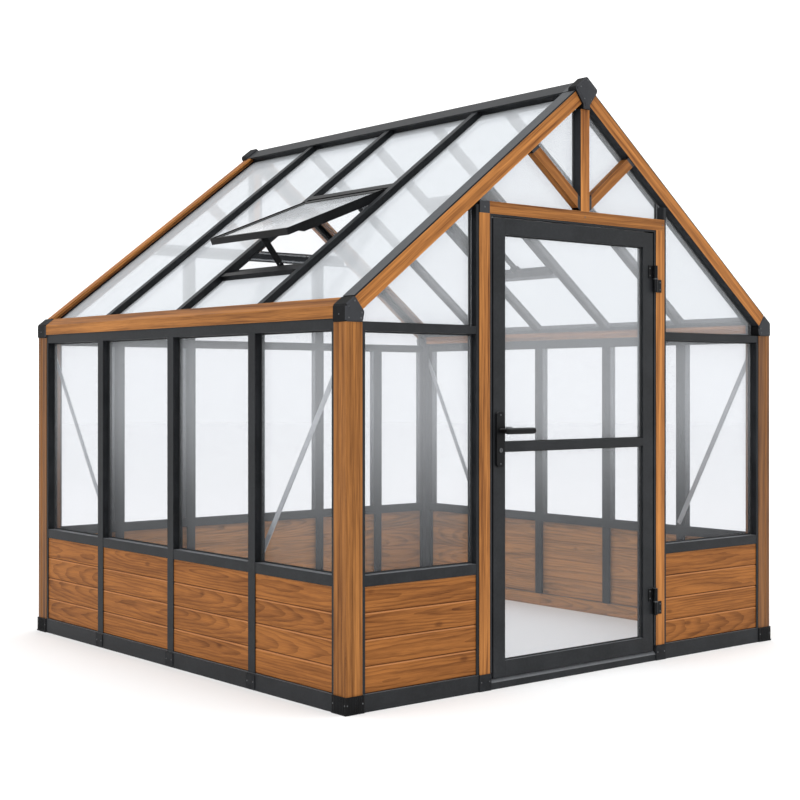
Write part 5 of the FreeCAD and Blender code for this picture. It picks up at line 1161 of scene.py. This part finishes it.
class Stage(bpy.types.Operator):
    """Set the floor, the soft light and the camera"""
    bl_idname = "greenhouse.stage"
    bl_label = "Stage"

    light_places = {"key": (-7.0, -5.0, 5.5), "top": (0.5, -0.5, 8.0), "right": (7.0, -4.0, 4.5)}
    light_spread = math.radians(60)
    floor_rings = (0.01, 3.0, 8.0, 40.0)
    floor_sides = 64

    def execute(self, context):
        chosen = settings("stage")
        scene = context.scene
        scene.view_settings.view_transform = "Standard"
        self.add_floor(chosen)
        self.add_sky(chosen)
        for name, place in self.light_places.items():
            self.add_light(name + "_light", place, getattr(chosen, name + "_strength"))
        camera = bpy.data.objects.new("photo_camera", bpy.data.cameras.new("photo_camera"))
        scene.collection.objects.link(camera)
        camera.location = chosen.camera_place
        camera.rotation_euler = (math.radians(90), 0, -chosen.heading)
        camera.data.sensor_width = 36
        camera.data.lens = chosen.lens
        camera.data.shift_x = chosen.shift_x
        camera.data.shift_y = chosen.shift_y
        scene.camera = camera
        return {"FINISHED"}

    def add_floor(self, chosen):
        """Round floor: at angle a and radius r the point is (r cos a, r sin a, 0)."""
        sides = self.floor_sides
        angle = np.arange(sides) * 2 * math.pi / sides
        radius = np.array(self.floor_rings)[:, None]
        flat = np.stack([radius * np.cos(angle), radius * np.sin(angle), 0 * radius * angle], axis=-1)
        faces = [face[::-1] for face in grid_quads(len(radius), sides)] + [list(range(sides))]
        mesh = bpy.data.meshes.new("studio_floor")
        mesh.from_pydata(flat.reshape(-1, 3).tolist(), [], faces)
        mesh.materials.append(pale_floor("pale_floor", chosen.floor_colour,
                                         scaled(chosen.floor_colour, 0.97)))
        floor = bpy.data.objects.new("studio_floor", mesh)
        bpy.context.scene.collection.objects.link(floor)

    def add_sky(self, chosen):
        """White surround, a little stronger where it is seen straight than where it lights the part."""
        world = bpy.data.worlds.new("studio_surround")
        world.use_nodes = True
        background = world.node_tree.nodes["Background"]
        background.inputs["Color"].default_value = (1, 1, 1, 1)
        seen = Field(world.node_tree).node("ShaderNodeLightPath", output="Is Camera Ray")
        strength = seen.choose(chosen.sky_strength, chosen.sky_fill)
        world.node_tree.links.new(strength.socket, background.inputs["Strength"])
        bpy.context.scene.world = world

    def add_light(self, name, place, strength):
        """Very soft light of even strength from the direction of a place."""
        light = bpy.data.lights.new(name, "SUN")
        light.energy = strength
        light.angle = self.light_spread
        lamp = bpy.data.objects.new(name, light)
        lamp.location = place
        lamp.rotation_euler = (Vector(ROOM_MIDDLE) - Vector(place)).to_track_quat("-Z", "Y").to_euler()
        bpy.context.scene.collection.objects.link(lamp)


class GreenhousePanel(bpy.types.Panel):
    """Settings and steps of the greenhouse's looks"""
    bl_idname = "VIEW3D_PT_greenhouse"
    bl_label = "Greenhouse"
    bl_space_type = "VIEW_3D"
    bl_region_type = "UI"
    bl_category = "Greenhouse"

    def draw(self, context):
        for step in STEPS:
            self.layout.operator(step.bl_idname)
        for group in GROUPS:
            chosen = settings(group)
            for name in chosen.__annotations__:
                self.layout.prop(chosen, name)


GROUPS = {"finish": FinishSettings, "fittings": FittingSettings, "stage": StageSettings}
STEPS = (WoodFrames, WallPlanks, CharcoalBars, BlackMouldings, MetalFittings, Glazing, GlazingBeads,
         VentTrim, FootRibs, RidgeCover, Screws, Stage)


def register():
    for name, group in GROUPS.items():
        bpy.utils.register_class(group)
        setattr(bpy.types.Scene, "greenhouse_" + name, PointerProperty(type=group))
    for step in (*STEPS, GreenhousePanel):
        bpy.utils.register_class(step)


def unregister():
    for step in (GreenhousePanel, *reversed(STEPS)):
        bpy.utils.unregister_class(step)
    for name, group in GROUPS.items():
        delattr(bpy.types.Scene, "greenhouse_" + name)
        bpy.utils.unregister_class(group)


def main():
    register()
    for step in STEPS:
        family, name = step.bl_idname.split(".")
        getattr(getattr(bpy.ops, family), name)()


if __name__ == "__main__":
    main()
